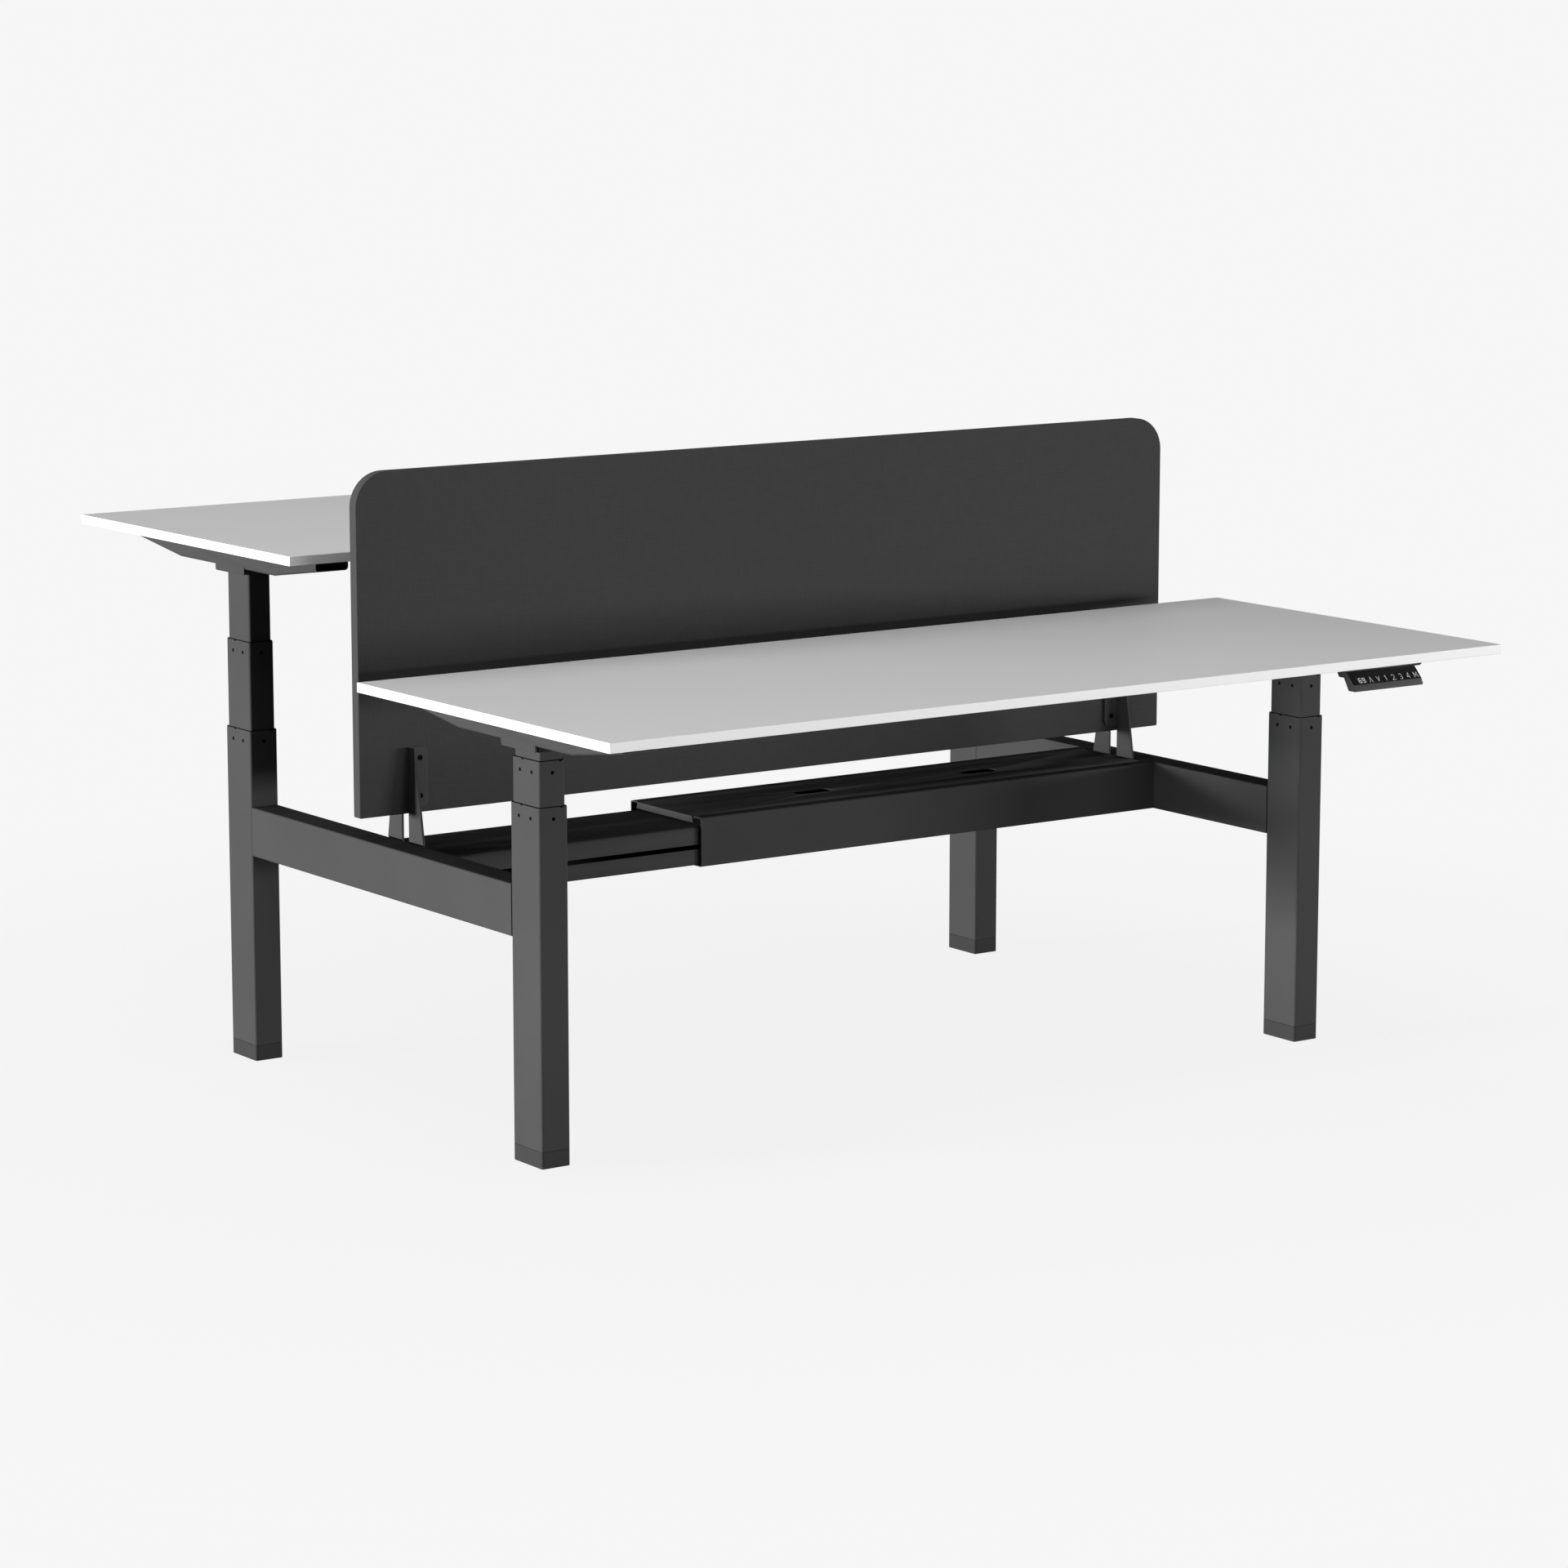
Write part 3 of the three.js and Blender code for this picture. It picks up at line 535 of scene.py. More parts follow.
@dataclass(frozen=True)
class Print(Finish):
    """Pale printed ink, a little uneven."""

    colour: Colour = (0.75, 0.75, 0.75)
    glow: float = 0.0
    ink: float = 0.0007

    def inputs(self, graph: Graph) -> dict[str, Any]:
        """Noise thins the ink here and there.

        Args:
            graph: The material's graph.

        Returns:
            Values or signals by socket name.
        """
        ink = graph.noise(self.ink, 2.0)
        return {
            "Base Color": self.tone(graph, ink, 0.85, 1.1),
            "Roughness": 0.5 + (ink - 0.5) * 0.2,
            "Emission Color": (*self.colour, 1.0),
            "Emission Strength": self.glow,
        }


COAT = PowderCoat()
# Near-black: the glide collars' own dark plastic, and on the pin discs painted shade that stands in
# for the dark holes in the tubes.
COLLAR_AND_HOLE_SHADE = Moulding(colour=(0.0018, 0.0018, 0.0018), roughness=0.8, specular=0.01)
FOOT = Moulding(colour=(0.024, 0.024, 0.024), roughness=0.68, specular=0.08)
CASE = Moulding(colour=(0.05, 0.05, 0.0505), roughness=0.6, specular=0.05)
PANEL = Moulding(colour=(0.007, 0.007, 0.0072), roughness=0.4, specular=0.015)
KEY = Moulding(colour=(0.0085, 0.0085, 0.0087), roughness=0.5, specular=0.015)
GLASS = Moulding(colour=(0.004, 0.004, 0.0045), roughness=0.12, specular=0.5, grain=0.004)
BLACK_SCREW = RolledSteel(colour=(0.003, 0.003, 0.003), roughness=0.5)
FACE, BAND, CLOTH = BoardFace(), EdgeBand(), ScreenCloth()
# The drives' cast finish is near-black, partly its own black and partly painted shade of the
# channel between the arms' skirts.
CAST_BLACK_AND_SHADE, STEEL = CastMetal(), RolledSteel()
LEGEND, DIGITS = Print(colour=(0.5, 0.5, 0.5)), Print(colour=(0.6, 0.6, 0.6), glow=0.06)


# Shapes


@dataclass
class Shell:
    """Points and faces of one or more closed skins."""

    points: np.ndarray
    faces: list[Sequence[int]]

    def moved(self, matrix: np.ndarray) -> "Shell":
        """The shell carried by a 4 by 4 matrix."""
        return Shell(self.points @ matrix[:3, :3].T + matrix[:3, 3], self.faces)

    @staticmethod
    def joined(shells: Iterable["Shell"]) -> "Shell":
        """Several shells as one.

        Args:
            shells: The shells.

        Returns:
            One shell that holds them all.
        """
        points, faces, count = [], [], 0
        for shell in shells:
            points.append(shell.points)
            faces += [[index + count for index in each] for each in shell.faces]
            count += len(shell.points)
        return Shell(np.concatenate(points), faces)


def shift(x: float, y: float, z: float) -> np.ndarray:
    """The matrix of a move.

    Args:
        x: The move along X.
        y: The move along Y.
        z: The move along Z.

    Returns:
        A 4 by 4 matrix.
    """
    matrix = np.eye(4)
    matrix[:3, 3] = x, y, z
    return matrix


def turn(axis: Axis, angle: float) -> np.ndarray:
    """The matrix of a turn.

    Args:
        axis: The axis that it turns about.
        angle: The angle in radians.

    Returns:
        A 4 by 4 matrix.
    """
    first, second = (axis.value + 1) % 3, (axis.value + 2) % 3
    matrix = np.eye(4)
    matrix[first, first] = matrix[second, second] = math.cos(angle)
    matrix[second, first] = math.sin(angle)
    matrix[first, second] = -math.sin(angle)
    return matrix


def facing(axis: Axis, sign: int) -> np.ndarray:
    """The matrix that turns +Z towards one end of an axis.

    Args:
        axis: The axis.
        sign: 1 for its positive end, -1 for the other.

    Returns:
        A 4 by 4 matrix.
    """
    if axis is Axis.Z:
        return turn(Axis.X, (1 - sign) * QUARTER)
    return turn(Axis.Y, sign * QUARTER) if axis is Axis.X else turn(Axis.X, -sign * QUARTER)


def woven(rows: np.ndarray, wrap_rows: bool = False, capped: bool = False) -> Shell:
    """Skins a grid of points.

    Face (i, j) joins point (i, j) to (i, j + 1), (i + 1, j + 1) and (i + 1, j); columns wrap.

    Args:
        rows: Points as an array of rows, columns and coordinates.
        wrap_rows: Whether the last row meets the first.
        capped: Whether the first and last rows are closed by flat faces.

    Returns:
        The shell.
    """
    count, width = rows.shape[:2]
    i = np.arange(count if wrap_rows else count - 1)[:, None]
    j = np.arange(width)[None, :]
    below, beside = (i + 1) % count, (j + 1) % width
    corners = (i * width + j, i * width + beside, below * width + beside, below * width + j)
    faces = np.stack(corners, -1).reshape(-1, 4).tolist()
    if capped:
        faces.append(list(range(width))[::-1])
        faces.append(list(range((count - 1) * width, count * width)))
    return Shell(rows.reshape(-1, 3), faces)


def rounded(width: float, depth: float, radii: Sequence[float], steps: int = 6) -> np.ndarray:
    """A rounded rectangle as a loop of points.

    Each corner is its centre plus its radius times (cos a, sin a) over a quarter turn.

    Args:
        width: Size along the first axis.
        depth: Size along the second axis.
        radii: Radius of each corner, from the one at the upper right round to the lower right.
        steps: Straight steps in each corner.

    Returns:
        The points, two numbers each.
    """
    radii = np.asarray(radii, float)[:, None, None]
    signs = np.array([[1, 1], [-1, 1], [-1, -1], [1, -1]])[:, None, :]
    angles = np.arange(4)[:, None] * QUARTER + np.linspace(0, QUARTER, steps + 1)
    arc = np.stack((np.cos(angles), np.sin(angles)), -1)
    centres = signs * (np.array([width / 2, depth / 2]) - radii)
    return (centres + radii * arc).reshape(-1, 2)


def level(loop: np.ndarray, height: float) -> np.ndarray:
    """A flat loop of points set at a height."""
    return np.column_stack((loop, np.full(len(loop), height)))


def ringed(width: float, depth: float, radii: Sequence[float], section: np.ndarray,
           steps: int = 6) -> np.ndarray:
    """Carries a section round a rounded rectangle.

    Row k is the rectangle drawn in by the section's inset k, at the section's height k.

    Args:
        width: Outer size along X.
        depth: Outer size along Y.
        radii: Corner radii of the outermost loop.
        section: Insets and heights, one pair for each row.
        steps: Straight steps in each corner.

    Returns:
        The grid of points.
    """
    least = 0.2 * MM
    rows = []
    for inset, height in section:
        drawn = [max(radius - inset, least) for radius in radii]
        rows.append(level(rounded(width - 2 * inset, depth - 2 * inset, drawn, steps), height))
    return np.stack(rows)


def eased(edge: float, steps: int = 3) -> np.ndarray:
    """Insets and heights of a quarter-round edge: edge times (1 - cos a, sin a)."""
    angles = np.linspace(0, QUARTER, steps + 1)
    return edge * np.stack((1 - np.cos(angles), np.sin(angles)), -1)


def slab(width: float, depth: float, height: float, radii: Sequence[float], edge: float,
         steps: int = 6) -> Shell:
    """A plate whose edges are all rounded, centred on Z from 0 to its height.

    Args:
        width: Size along X.
        depth: Size along Y.
        height: Size along Z.
        radii: Corner radii in plan.
        edge: Radius of its upper and lower edges.
        steps: Straight steps in each corner.

    Returns:
        The shell.
    """
    ease = eased(edge)
    upper = np.column_stack((ease[:, 0], height - edge + ease[:, 1]))
    lower = np.column_stack((ease[::-1, 0], edge - ease[::-1, 1]))
    return woven(ringed(width, depth, radii, np.concatenate((lower, upper)), steps), capped=True)


def pipe(width: float, depth: float, length: float, radius: float, wall: float,
         edge: float = 0.0005) -> Shell:
    """A rectangular tube along Z, from 0 to its length, with rounded mouths.

    The wall's own section is carried round the tube and closes on itself.

    Args:
        width: Outer size along X.
        depth: Outer size along Y.
        length: Size along Z.
        radius: Outer corner radius.
        wall: Wall thickness.
        edge: Radius of the mouths' edges.

    Returns:
        The shell.
    """
    ease = eased(edge)
    up = np.column_stack((ease[:, 0], length - edge + ease[:, 1]))
    over = np.column_stack((wall - ease[::-1, 0], length - edge + ease[::-1, 1]))
    half = np.concatenate((up, over))
    section = np.concatenate((half, np.column_stack((half[::-1, 0], length - half[::-1, 1]))))
    return woven(ringed(width, depth, [radius] * 4, section), wrap_rows=True)


def bored(width: float, depth: float, height: float, radius: float, bore: float) -> Shell:
    """A block along Z with a round hole: both outlines are carried up and meet at the flat ends.

    Args:
        width: Size along X.
        depth: Size along Y.
        height: Size along Z.
        radius: Corner radius in plan.
        bore: Radius of the hole.

    Returns:
        The shell.
    """
    outline, hole = rounded(width, depth, [radius] * 4), rounded(2 * bore, 2 * bore, [bore] * 4)
    rows = (level(outline, 0), level(outline, height), level(hole, height), level(hole, 0))
    return woven(np.stack(rows), wrap_rows=True)


def turned(radii: np.ndarray, angles: np.ndarray, heights: np.ndarray) -> np.ndarray:
    """A grid of points about Z: (r cos a, r sin a, z)."""
    grid = np.broadcast_arrays(radii * np.cos(angles), radii * np.sin(angles), heights)
    return np.stack(grid, -1)


def spun(profile: Sequence[tuple[float, float]], steps: int = 24) -> Shell:
    """Turns a profile of radii and heights about Z, with flat caps at its ends.

    Args:
        profile: Radii and heights.
        steps: Straight steps round the axis.

    Returns:
        The shell.
    """
    radii, heights = np.asarray(profile, float).T
    angles = np.linspace(0, 2 * math.pi, steps, endpoint=False)
    return woven(turned(radii[:, None], angles[None, :], heights[:, None]), capped=True)


def filleted(corners: np.ndarray, radii: np.ndarray, steps: int = 4) -> np.ndarray:
    """Rounds the corners of a closed outline.

    An arc touches both edges of a corner; its centre lies on their bisector.

    Args:
        corners: The outline's points.
        radii: Radius of each corner.
        steps: Straight steps in each arc.

    Returns:
        The rounded outline.
    """
    def unit(vectors: np.ndarray) -> np.ndarray:
        """Vectors of length 1."""
        return vectors / np.linalg.norm(vectors, axis=-1, keepdims=True)

    back = unit(np.roll(corners, 1, axis=0) - corners)
    ahead = unit(np.roll(corners, -1, axis=0) - corners)
    half = np.arccos(np.clip((back * ahead).sum(-1), -1, 1)) / 2
    centre = corners + unit(back + ahead) * (radii / np.sin(half))[:, None]
    first = corners + back * (radii / np.tan(half))[:, None] - centre
    last = corners + ahead * (radii / np.tan(half))[:, None] - centre
    sweep = math.pi - 2 * half
    share = np.linspace(0, 1, steps + 1)[None, :, None]
    angle = sweep[:, None, None]
    arc = np.sin((1 - share) * angle) * first[:, None] + np.sin(share * angle) * last[:, None]
    return (centre[:, None] + arc / np.sin(angle)).reshape(-1, 2)


def drawn_along_x(outline: np.ndarray, start: float, stop: float) -> Shell:
    """Carries an outline along X and closes it with flat ends.

    Args:
        outline: Its points in Y and Z.
        start: Where it starts along X.
        stop: Where it stops.

    Returns:
        The shell.
    """
    def row(x: float) -> np.ndarray:
        """The outline at one place along X."""
        return np.column_stack((np.full(len(outline), x), outline))

    return woven(np.stack((row(start), row(stop))), capped=True)


def ribbon(path: np.ndarray, width: float, lift: float) -> Shell:
    """A flat stroke along a path, its corners mitred.

    The path's points are moved by half the width along the mitre of their two edges' normals.

    Args:
        path: Points in the plane of the stroke.
        width: The stroke's width.
        lift: Its thickness.

    Returns:
        The shell, on z = 0.
    """
    edges = np.diff(path, axis=0)
    normals = np.column_stack((-edges[:, 1], edges[:, 0]))
    normals /= np.linalg.norm(normals, axis=1, keepdims=True)
    first = np.concatenate((normals[:1], normals))
    second = np.concatenate((normals, normals[-1:]))
    mitre = (first + second) / (1 + (first * second).sum(1, keepdims=True))
    side = mitre * width / 2
    rows = (level(path + side, 0), level(path + side, lift))
    rows += (level(path - side, lift), level(path - side, 0))
    return woven(np.stack(rows, axis=1), capped=True)


# Pieces


def placed(name: str, data: bpy.types.ID) -> bpy.types.Object:
    """Puts an object into the scene.

    Args:
        name: Its name.
        data: Its mesh, lamp or camera.

    Returns:
        The object, at the origin.
    """
    made = bpy.data.objects.new(name, data)
    bpy.context.scene.collection.objects.link(made)
    return made


class Piece:
    """Puts shells and copies of nodes into the scene."""

    @staticmethod
    def settle(made: bpy.types.Object, body: str, slot: Slot, nodes: Sequence[str]) -> None:
        """Ties a piece to its body and nodes, and reports it.

        Args:
            made: The piece.
            body: The body that it moves with.
            slot: Not used.
            nodes: The nodes that it stands for.
        """
        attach(made, body)
        if nodes:
            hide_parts(*nodes)
        LOG.info("%s on %s, %d faces", made.name, body, len(made.data.polygons))

    @staticmethod
    def add(name: str, shell: Shell, finish: Finish, slot: Slot, body: str,
            nodes: Sequence[str] = ()) -> bpy.types.Object:
        """Makes a piece from a shell.

        Args:
            name: The piece's name.
            shell: Its points and faces.
            finish: Its finish.
            slot: The record's slot for its finish.
            body: The body that it moves with.
            nodes: The nodes that it stands for.

        Returns:
            The piece.
        """
        mesh = bpy.data.meshes.new(name)
        mesh.from_pydata(shell.points.tolist(), [], shell.faces)
        work = bmesh.new()
        work.from_mesh(mesh)
        bmesh.ops.recalc_face_normals(work, faces=work.faces)
        work.to_mesh(mesh)
        work.free()
        mesh.shade_smooth()
        mesh.set_sharp_from_angle(angle=SMOOTH_ANGLE)
        mesh.materials.append(finish.material())
        made = placed(name, mesh)
        shading = made.modifiers.new("flat_faces", "WEIGHTED_NORMAL")
        shading.keep_sharp = True
        Piece.settle(made, body, slot, nodes)
        return made

    @staticmethod
    def ease(name: str, node: str, edge: float, finish: Finish, slot: Slot,
             body: str) -> bpy.types.Object:
        """Makes a piece from a node's own shape, with its hard edges rounded.

        Args:
            name: The piece's name.
            node: The node that it stands for.
            edge: The radius of its edges.
            finish: Its finish.
            slot: The record's slot for its finish.
            body: The body that it moves with.

        Returns:
            The piece.
        """
        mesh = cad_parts[node].data.copy()
        mesh.name = name
        work = bmesh.new()
        work.from_mesh(mesh)
        bmesh.ops.remove_doubles(work, verts=work.verts, dist=MERGE_DISTANCE)
        bmesh.ops.dissolve_limit(work, angle_limit=FLAT_ANGLE, verts=work.verts, edges=work.edges)
        work.to_mesh(mesh)
        work.free()
        mesh.shade_smooth()
        mesh.materials.clear()
        mesh.materials.append(finish.material())
        made = placed(name, mesh)
        bevel = made.modifiers.new("edges", "BEVEL")
        bevel.width = edge
        bevel.segments = 2
        bevel.limit_method = "ANGLE"
        bevel.angle_limit = HARD_ANGLE
        bevel.harden_normals = True
        Piece.settle(made, body, slot, [node])
        return made

    @staticmethod
    def mark(made: bpy.types.Object, finish: Finish, way: np.ndarray, least: float = 0.98) -> None:
        """Gives a second finish to the faces that look one way.

        Args:
            made: The piece.
            finish: The second finish.
            way: The direction of length 1 that those faces look in.
            least: The smallest cosine between a face's normal and that direction.
        """
        polygons, material = made.data.polygons, finish.material()
        if material.name not in made.data.materials:
            made.data.materials.append(material)
        normals = np.empty(len(polygons) * 3)
        polygons.foreach_get("normal", normals)
        index = np.empty(len(polygons), np.int32)
        polygons.foreach_get("material_index", index)
        index[normals.reshape(-1, 3) @ way > least] = made.data.materials.find(material.name)
        polygons.foreach_set("material_index", index)


def node_box(node: str) -> tuple[np.ndarray, np.ndarray]:
    """A node's middle and size."""
    low, high = (np.array(corner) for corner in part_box(node))
    return (low + high) / 2, high - low


@dataclass
class ScrewHead:
    """A button-head screw with a round socket."""

    diameter: float = 9.0 * MM
    height: float = 2.6 * MM
    socket: float = 4.6 * MM
    depth: float = 1.6 * MM
    steps: int = 18

    def shell(self) -> Shell:
        """The head: a domed rim, then a socket that drops from it.

        The rim's radius goes from R to the socket's as cos a, its height as sin a to the power 0.8.

        Returns:
            The shell, on z = 0.
        """
        radius, bore = self.diameter / 2, self.socket / 2
        angles = np.linspace(0, QUARTER, 6)
        across = bore + (radius - bore) * np.cos(angles)
        dome = np.column_stack((across, self.height * np.sin(angles) ** 0.8))
        sunk = [(bore * 0.97, self.height), (bore * 0.95, self.height - self.depth)]
        return spun(np.concatenate((dome, sunk)), self.steps)


@dataclass
class Column:
    """A lifting column: foot cap, three tubes with glide collars and pins, and the lead screw."""

    side: Side
    end: End
    corner: float = 4.0 * MM
    wall: float = 2.0 * MM
    foot_top: float = 25.7 * MM
    foot_edge: float = 1.0 * MM
    foot_groove: float = 0.15 * MM
    spigot_inset: float = 2.4 * MM
    spigot_edge: float = 1.0 * MM
    collar_height: float = 0.9 * MM
    collar_inset: float = 0.5 * MM
    collar_lap: float = 0.25 * MM
    collar_edge: float = 0.25 * MM
    tab_width: float = 5.0 * MM
    tab_drop: float = 2.6 * MM
    tab_proud: float = 0.15 * MM
    tab_corner: float = 0.8 * MM
    tab_edge: float = 0.12 * MM
    tab_place: tuple[float, float] = (14.0 * MM, 9.0 * MM)
    pin_diameter: float = 5.8 * MM
    pin_proud: float = 0.25 * MM
    pin_drop: float = 17.5 * MM
    pin_spread: float = 32.0 * MM
    pin_steps: int = 20
    nut_radius: float = 11.0 * MM
    nut_bore: float = 7.7 * MM
    nut_height: float = 426.0 * MM
    nut_plate: float = 6.0 * MM
    screw_radius: float = 7.0 * MM
    screw_lead: float = 8.0 * MM
    screw_starts: int = 2
    screw_rows: int = 1081
    screw_columns: int = 28
    thread_depth: float = 1.3 * MM

    @property
    def place(self) -> str:
        """The words for this column in the names of nodes and bodies."""
        return f"{self.side.label}_{self.end.label}"

    def build(self) -> None:
        """Builds the column from the floor up."""
        self.foot()
        self.tube(Tube.OUTER, "frame")
        self.tube(Tube.MID, f"{self.place}_stage")
        self.tube(Tube.INNER, f"{self.side.label}_desk")
        self.screw()

    def foot(self) -> None:
        """The foot cap: a rounded block whose upper edge leaves a shadow line, and its spigot."""
        node = f"foot_cap_{self.place}"
        middle, size = node_box(node)
        low = middle[2] - size[2] / 2
        top, groove = self.foot_top, self.foot_groove
        spigot, edge = self.spigot_inset, self.spigot_edge
        ease = eased(self.foot_edge)
        section = np.concatenate((
            np.column_stack((ease[::-1, 0], self.foot_edge - ease[::-1, 1])),
            [[0, top - groove], [groove, top], [spigot, top]],
            [[spigot, size[2] - edge], [spigot + edge, size[2]]],
        ))
        shell = woven(ringed(size[0], size[1], [self.corner] * 4, section), capped=True)
        shell = shell.moved(shift(middle[0], middle[1], low))
        Piece.add(f"foot_{self.place}", shell, FOOT, Slot.FOOT, "frame", [node])

    def tube(self, tube: Tube, body: str) -> None:
        """One tube with what sits in it and on its mouth.

        Args:
            tube: Which of the three tubes it is.
            body: The body that it moves with.
        """
        name = f"{tube.label}_{self.place}"
        node = f"{tube.label}_tube_{self.place}"
        middle, size = node_box(node)
        low = middle[2] - size[2] / 2
        shells = [pipe(size[0], size[1], size[2], self.corner, self.wall)]
        if tube is Tube.MID:
            nut, weld = 2 * self.nut_radius, (self.nut_radius + self.nut_bore) / 2
            shells.append(bored(nut, nut, self.nut_height, self.nut_radius, self.nut_bore))
            width, depth = size[:2] - self.wall
            shells.append(bored(width, depth, self.nut_plate, self.wall, weld))
        shell = Shell.joined(shells).moved(shift(middle[0], middle[1], low))
        Piece.add(name, shell, COAT, Slot.STEEL, body, [node])
        if tube is not Tube.INNER:
            top = shift(middle[0], middle[1], low + size[2])
            self.collar(f"collar_{name}", size, body, top)
            self.pins(f"pins_{name}", size, body, top)

    def collar(self, name: str, size: np.ndarray, body: str, top: np.ndarray) -> None:
        """The glide collar: a thin ring on the mouth with tabs over the rim.

        Args:
            name: The piece's name.
            size: The tube's size.
            body: The body that it moves with.
            top: The matrix that carries it to the mouth.
        """
        inset, wall = self.collar_inset, self.wall + self.collar_lap - self.collar_inset
        width, depth = size[0] - 2 * inset, size[1] - 2 * inset
        radius = self.corner - inset
        ring = pipe(width, depth, self.collar_height, radius, wall, self.collar_edge)
        thick, radii = inset + self.tab_proud, [self.tab_corner] * 4
        tab = slab(self.tab_width, self.tab_drop, thick, radii, self.tab_edge, 3)
        tab = tab.moved(shift(0, self.collar_height - self.tab_drop / 2, 0))
        shells = [ring]
        along, across = self.tab_place
        for sign in (-1, 1):
            out = turn(Axis.Z, sign * QUARTER) @ turn(Axis.X, QUARTER)
            shells.append(tab.moved(shift(sign * (size[0] / 2 - inset), -sign * across, 0) @ out))
            out = turn(Axis.Z, (1 + sign) * QUARTER) @ turn(Axis.X, QUARTER)
            shells.append(tab.moved(shift(-sign * along, sign * (size[1] / 2 - inset), 0) @ out))
        Piece.add(name, Shell.joined(shells).moved(top), COLLAR_AND_HOLE_SHADE, Slot.FOOT, body)

    def pins(self, name: str, size: np.ndarray, body: str, top: np.ndarray) -> None:
        """The ends of the glide pins: dished discs, two on each broad face and one on each narrow;
        their near-black finish is painted shade of the holes in the tube.

        Args:
            name: The piece's name.
            size: The tube's size.
            body: The body that it moves with.
            top: The matrix that carries them to the mouth.
        """
        radius, proud = self.pin_diameter / 2, self.pin_proud
        disc = spun([
            (radius, -proud), (radius, proud * 0.6), (radius * 0.9, proud),
            (radius * 0.7, proud), (radius * 0.5, proud * 0.2), (radius * 0.2, 0),
        ], self.pin_steps)
        shells = []
        for sign in (-1, 1):
            for spot in (-1, 1):
                place = shift(sign * size[0] / 2, spot * self.pin_spread / 2, -self.pin_drop)
                shells.append(disc.moved(place @ facing(Axis.X, sign)))
            place = shift(0, sign * size[1] / 2, -self.pin_drop)
            shells.append(disc.moved(place @ facing(Axis.Y, sign)))
        # Near-black discs: painted shade of the tube's holes.
        Piece.add(name, Shell.joined(shells).moved(top), COLLAR_AND_HOLE_SHADE, Slot.FOOT, body)

    def screw(self) -> None:
        """The lead screw, over angle a and height z.

        Its radius is R - d (1 - cos(n (a - 2 pi z / lead))) / 2 for n starts of depth d.
        """
        node = f"lead_screw_{self.place}"
        middle, size = node_box(node)
        heights = np.linspace(0, size[2], self.screw_rows)[:, None]
        angles = np.linspace(0, 2 * math.pi, self.screw_columns, endpoint=False)[None, :]
        phase = self.screw_starts * (angles - 2 * math.pi * heights / self.screw_lead)
        radius = self.screw_radius - self.thread_depth * (1 - np.cos(phase)) / 2
        shell = woven(turned(radius, angles, heights), capped=True)
        shell = shell.moved(shift(middle[0], middle[1], middle[2] - size[2] / 2))
        body = f"{self.place}_screw"
        Piece.add(f"thread_{self.place}", shell, STEEL, Slot.SCREW, body, [node])


@dataclass
class CentreBeam:
    """The frame's beams: end beams, the sleeve that is also the tray, inner beam and lid."""

    bend: float = 3.2 * MM
    cut_edge: float = 0.35 * MM
    sheet: float = 2.0 * MM
    lip: float = 22.0 * MM
    ledge: float = 10.0 * MM
    ledge_drop: float = 2.3 * MM
    plate: float = 3.0 * MM
    plate_corner: float = 1.0 * MM
    plate_edge: float = 0.3 * MM
    beam_corner: float = 3.0 * MM
    beam_edge: float = 0.5 * MM
    lid_edge: float = 0.45 * MM

    def build(self) -> None:
        """Builds the beams and the lid."""
        for end in End:
            self.end_beam(end)
        self.sleeve()
        Piece.ease("beam_slotted", "beam_inner", self.beam_edge, COAT, Slot.STEEL, "frame")
        Piece.ease("lid", "tray_lid", self.lid_edge, COAT, Slot.STEEL, "tray_lid")

    def end_beam(self, end: End) -> None:
        """A box-section beam between a near and a far column.

        Args:
            end: The end of the bench that it closes.
        """
        node = f"end_beam_{end.label}"
        middle, size = node_box(node)
        shell = pipe(size[0], size[2], size[1], self.beam_corner, self.sheet)
        shell = shell.moved(shift(*middle) @ turn(Axis.X, QUARTER) @ shift(0, 0, -size[1] / 2))
        Piece.add(f"beam_{end.label}", shell, COAT, Slot.STEEL, "frame", [node])

    def sleeve(self) -> None:
        """The folded channel: a section with rounded bends carried along X, and its end plate."""
        middle, size = node_box("beam_sleeve")
        low, top = middle[2] - size[2] / 2, middle[2] + size[2] / 2
        wall, edge, t = size[1] / 2, size[1] / 2 - self.lip, self.sheet
        shelf = top - self.ledge_drop
        half = np.array([
            [wall, low], [wall, top], [edge, top], [edge, shelf], [edge - self.ledge, shelf],
            [edge - self.ledge, shelf - t], [edge + t, shelf - t], [edge + t, top - t],
            [wall - t, top - t], [wall - t, low + t],
        ])
        outer, inner = self.bend, self.bend - self.sheet
        radii = np.array([outer] * 2 + [self.cut_edge] * 6 + [inner] * 2)
        corners = np.concatenate((half, (half * (-1, 1))[::-1]))
        outline = filleted(corners, np.concatenate((radii, radii[::-1])))
        start, stop = middle[0] - size[0] / 2, middle[0] + size[0] / 2
        shell = drawn_along_x(outline, start, stop)
        rise, radii = shelf - low - 3 * t, [self.plate_corner] * 4
        plate = slab(rise, size[1] - 2 * t, self.plate, radii, self.plate_edge, 3)
        plate = plate.moved(shift(stop, 0, (low + shelf) / 2) @ turn(Axis.Y, -QUARTER))
        shell = Shell.joined([shell, plate])
        Piece.add("sleeve", shell, COAT, Slot.STEEL, "frame", ["beam_sleeve"])


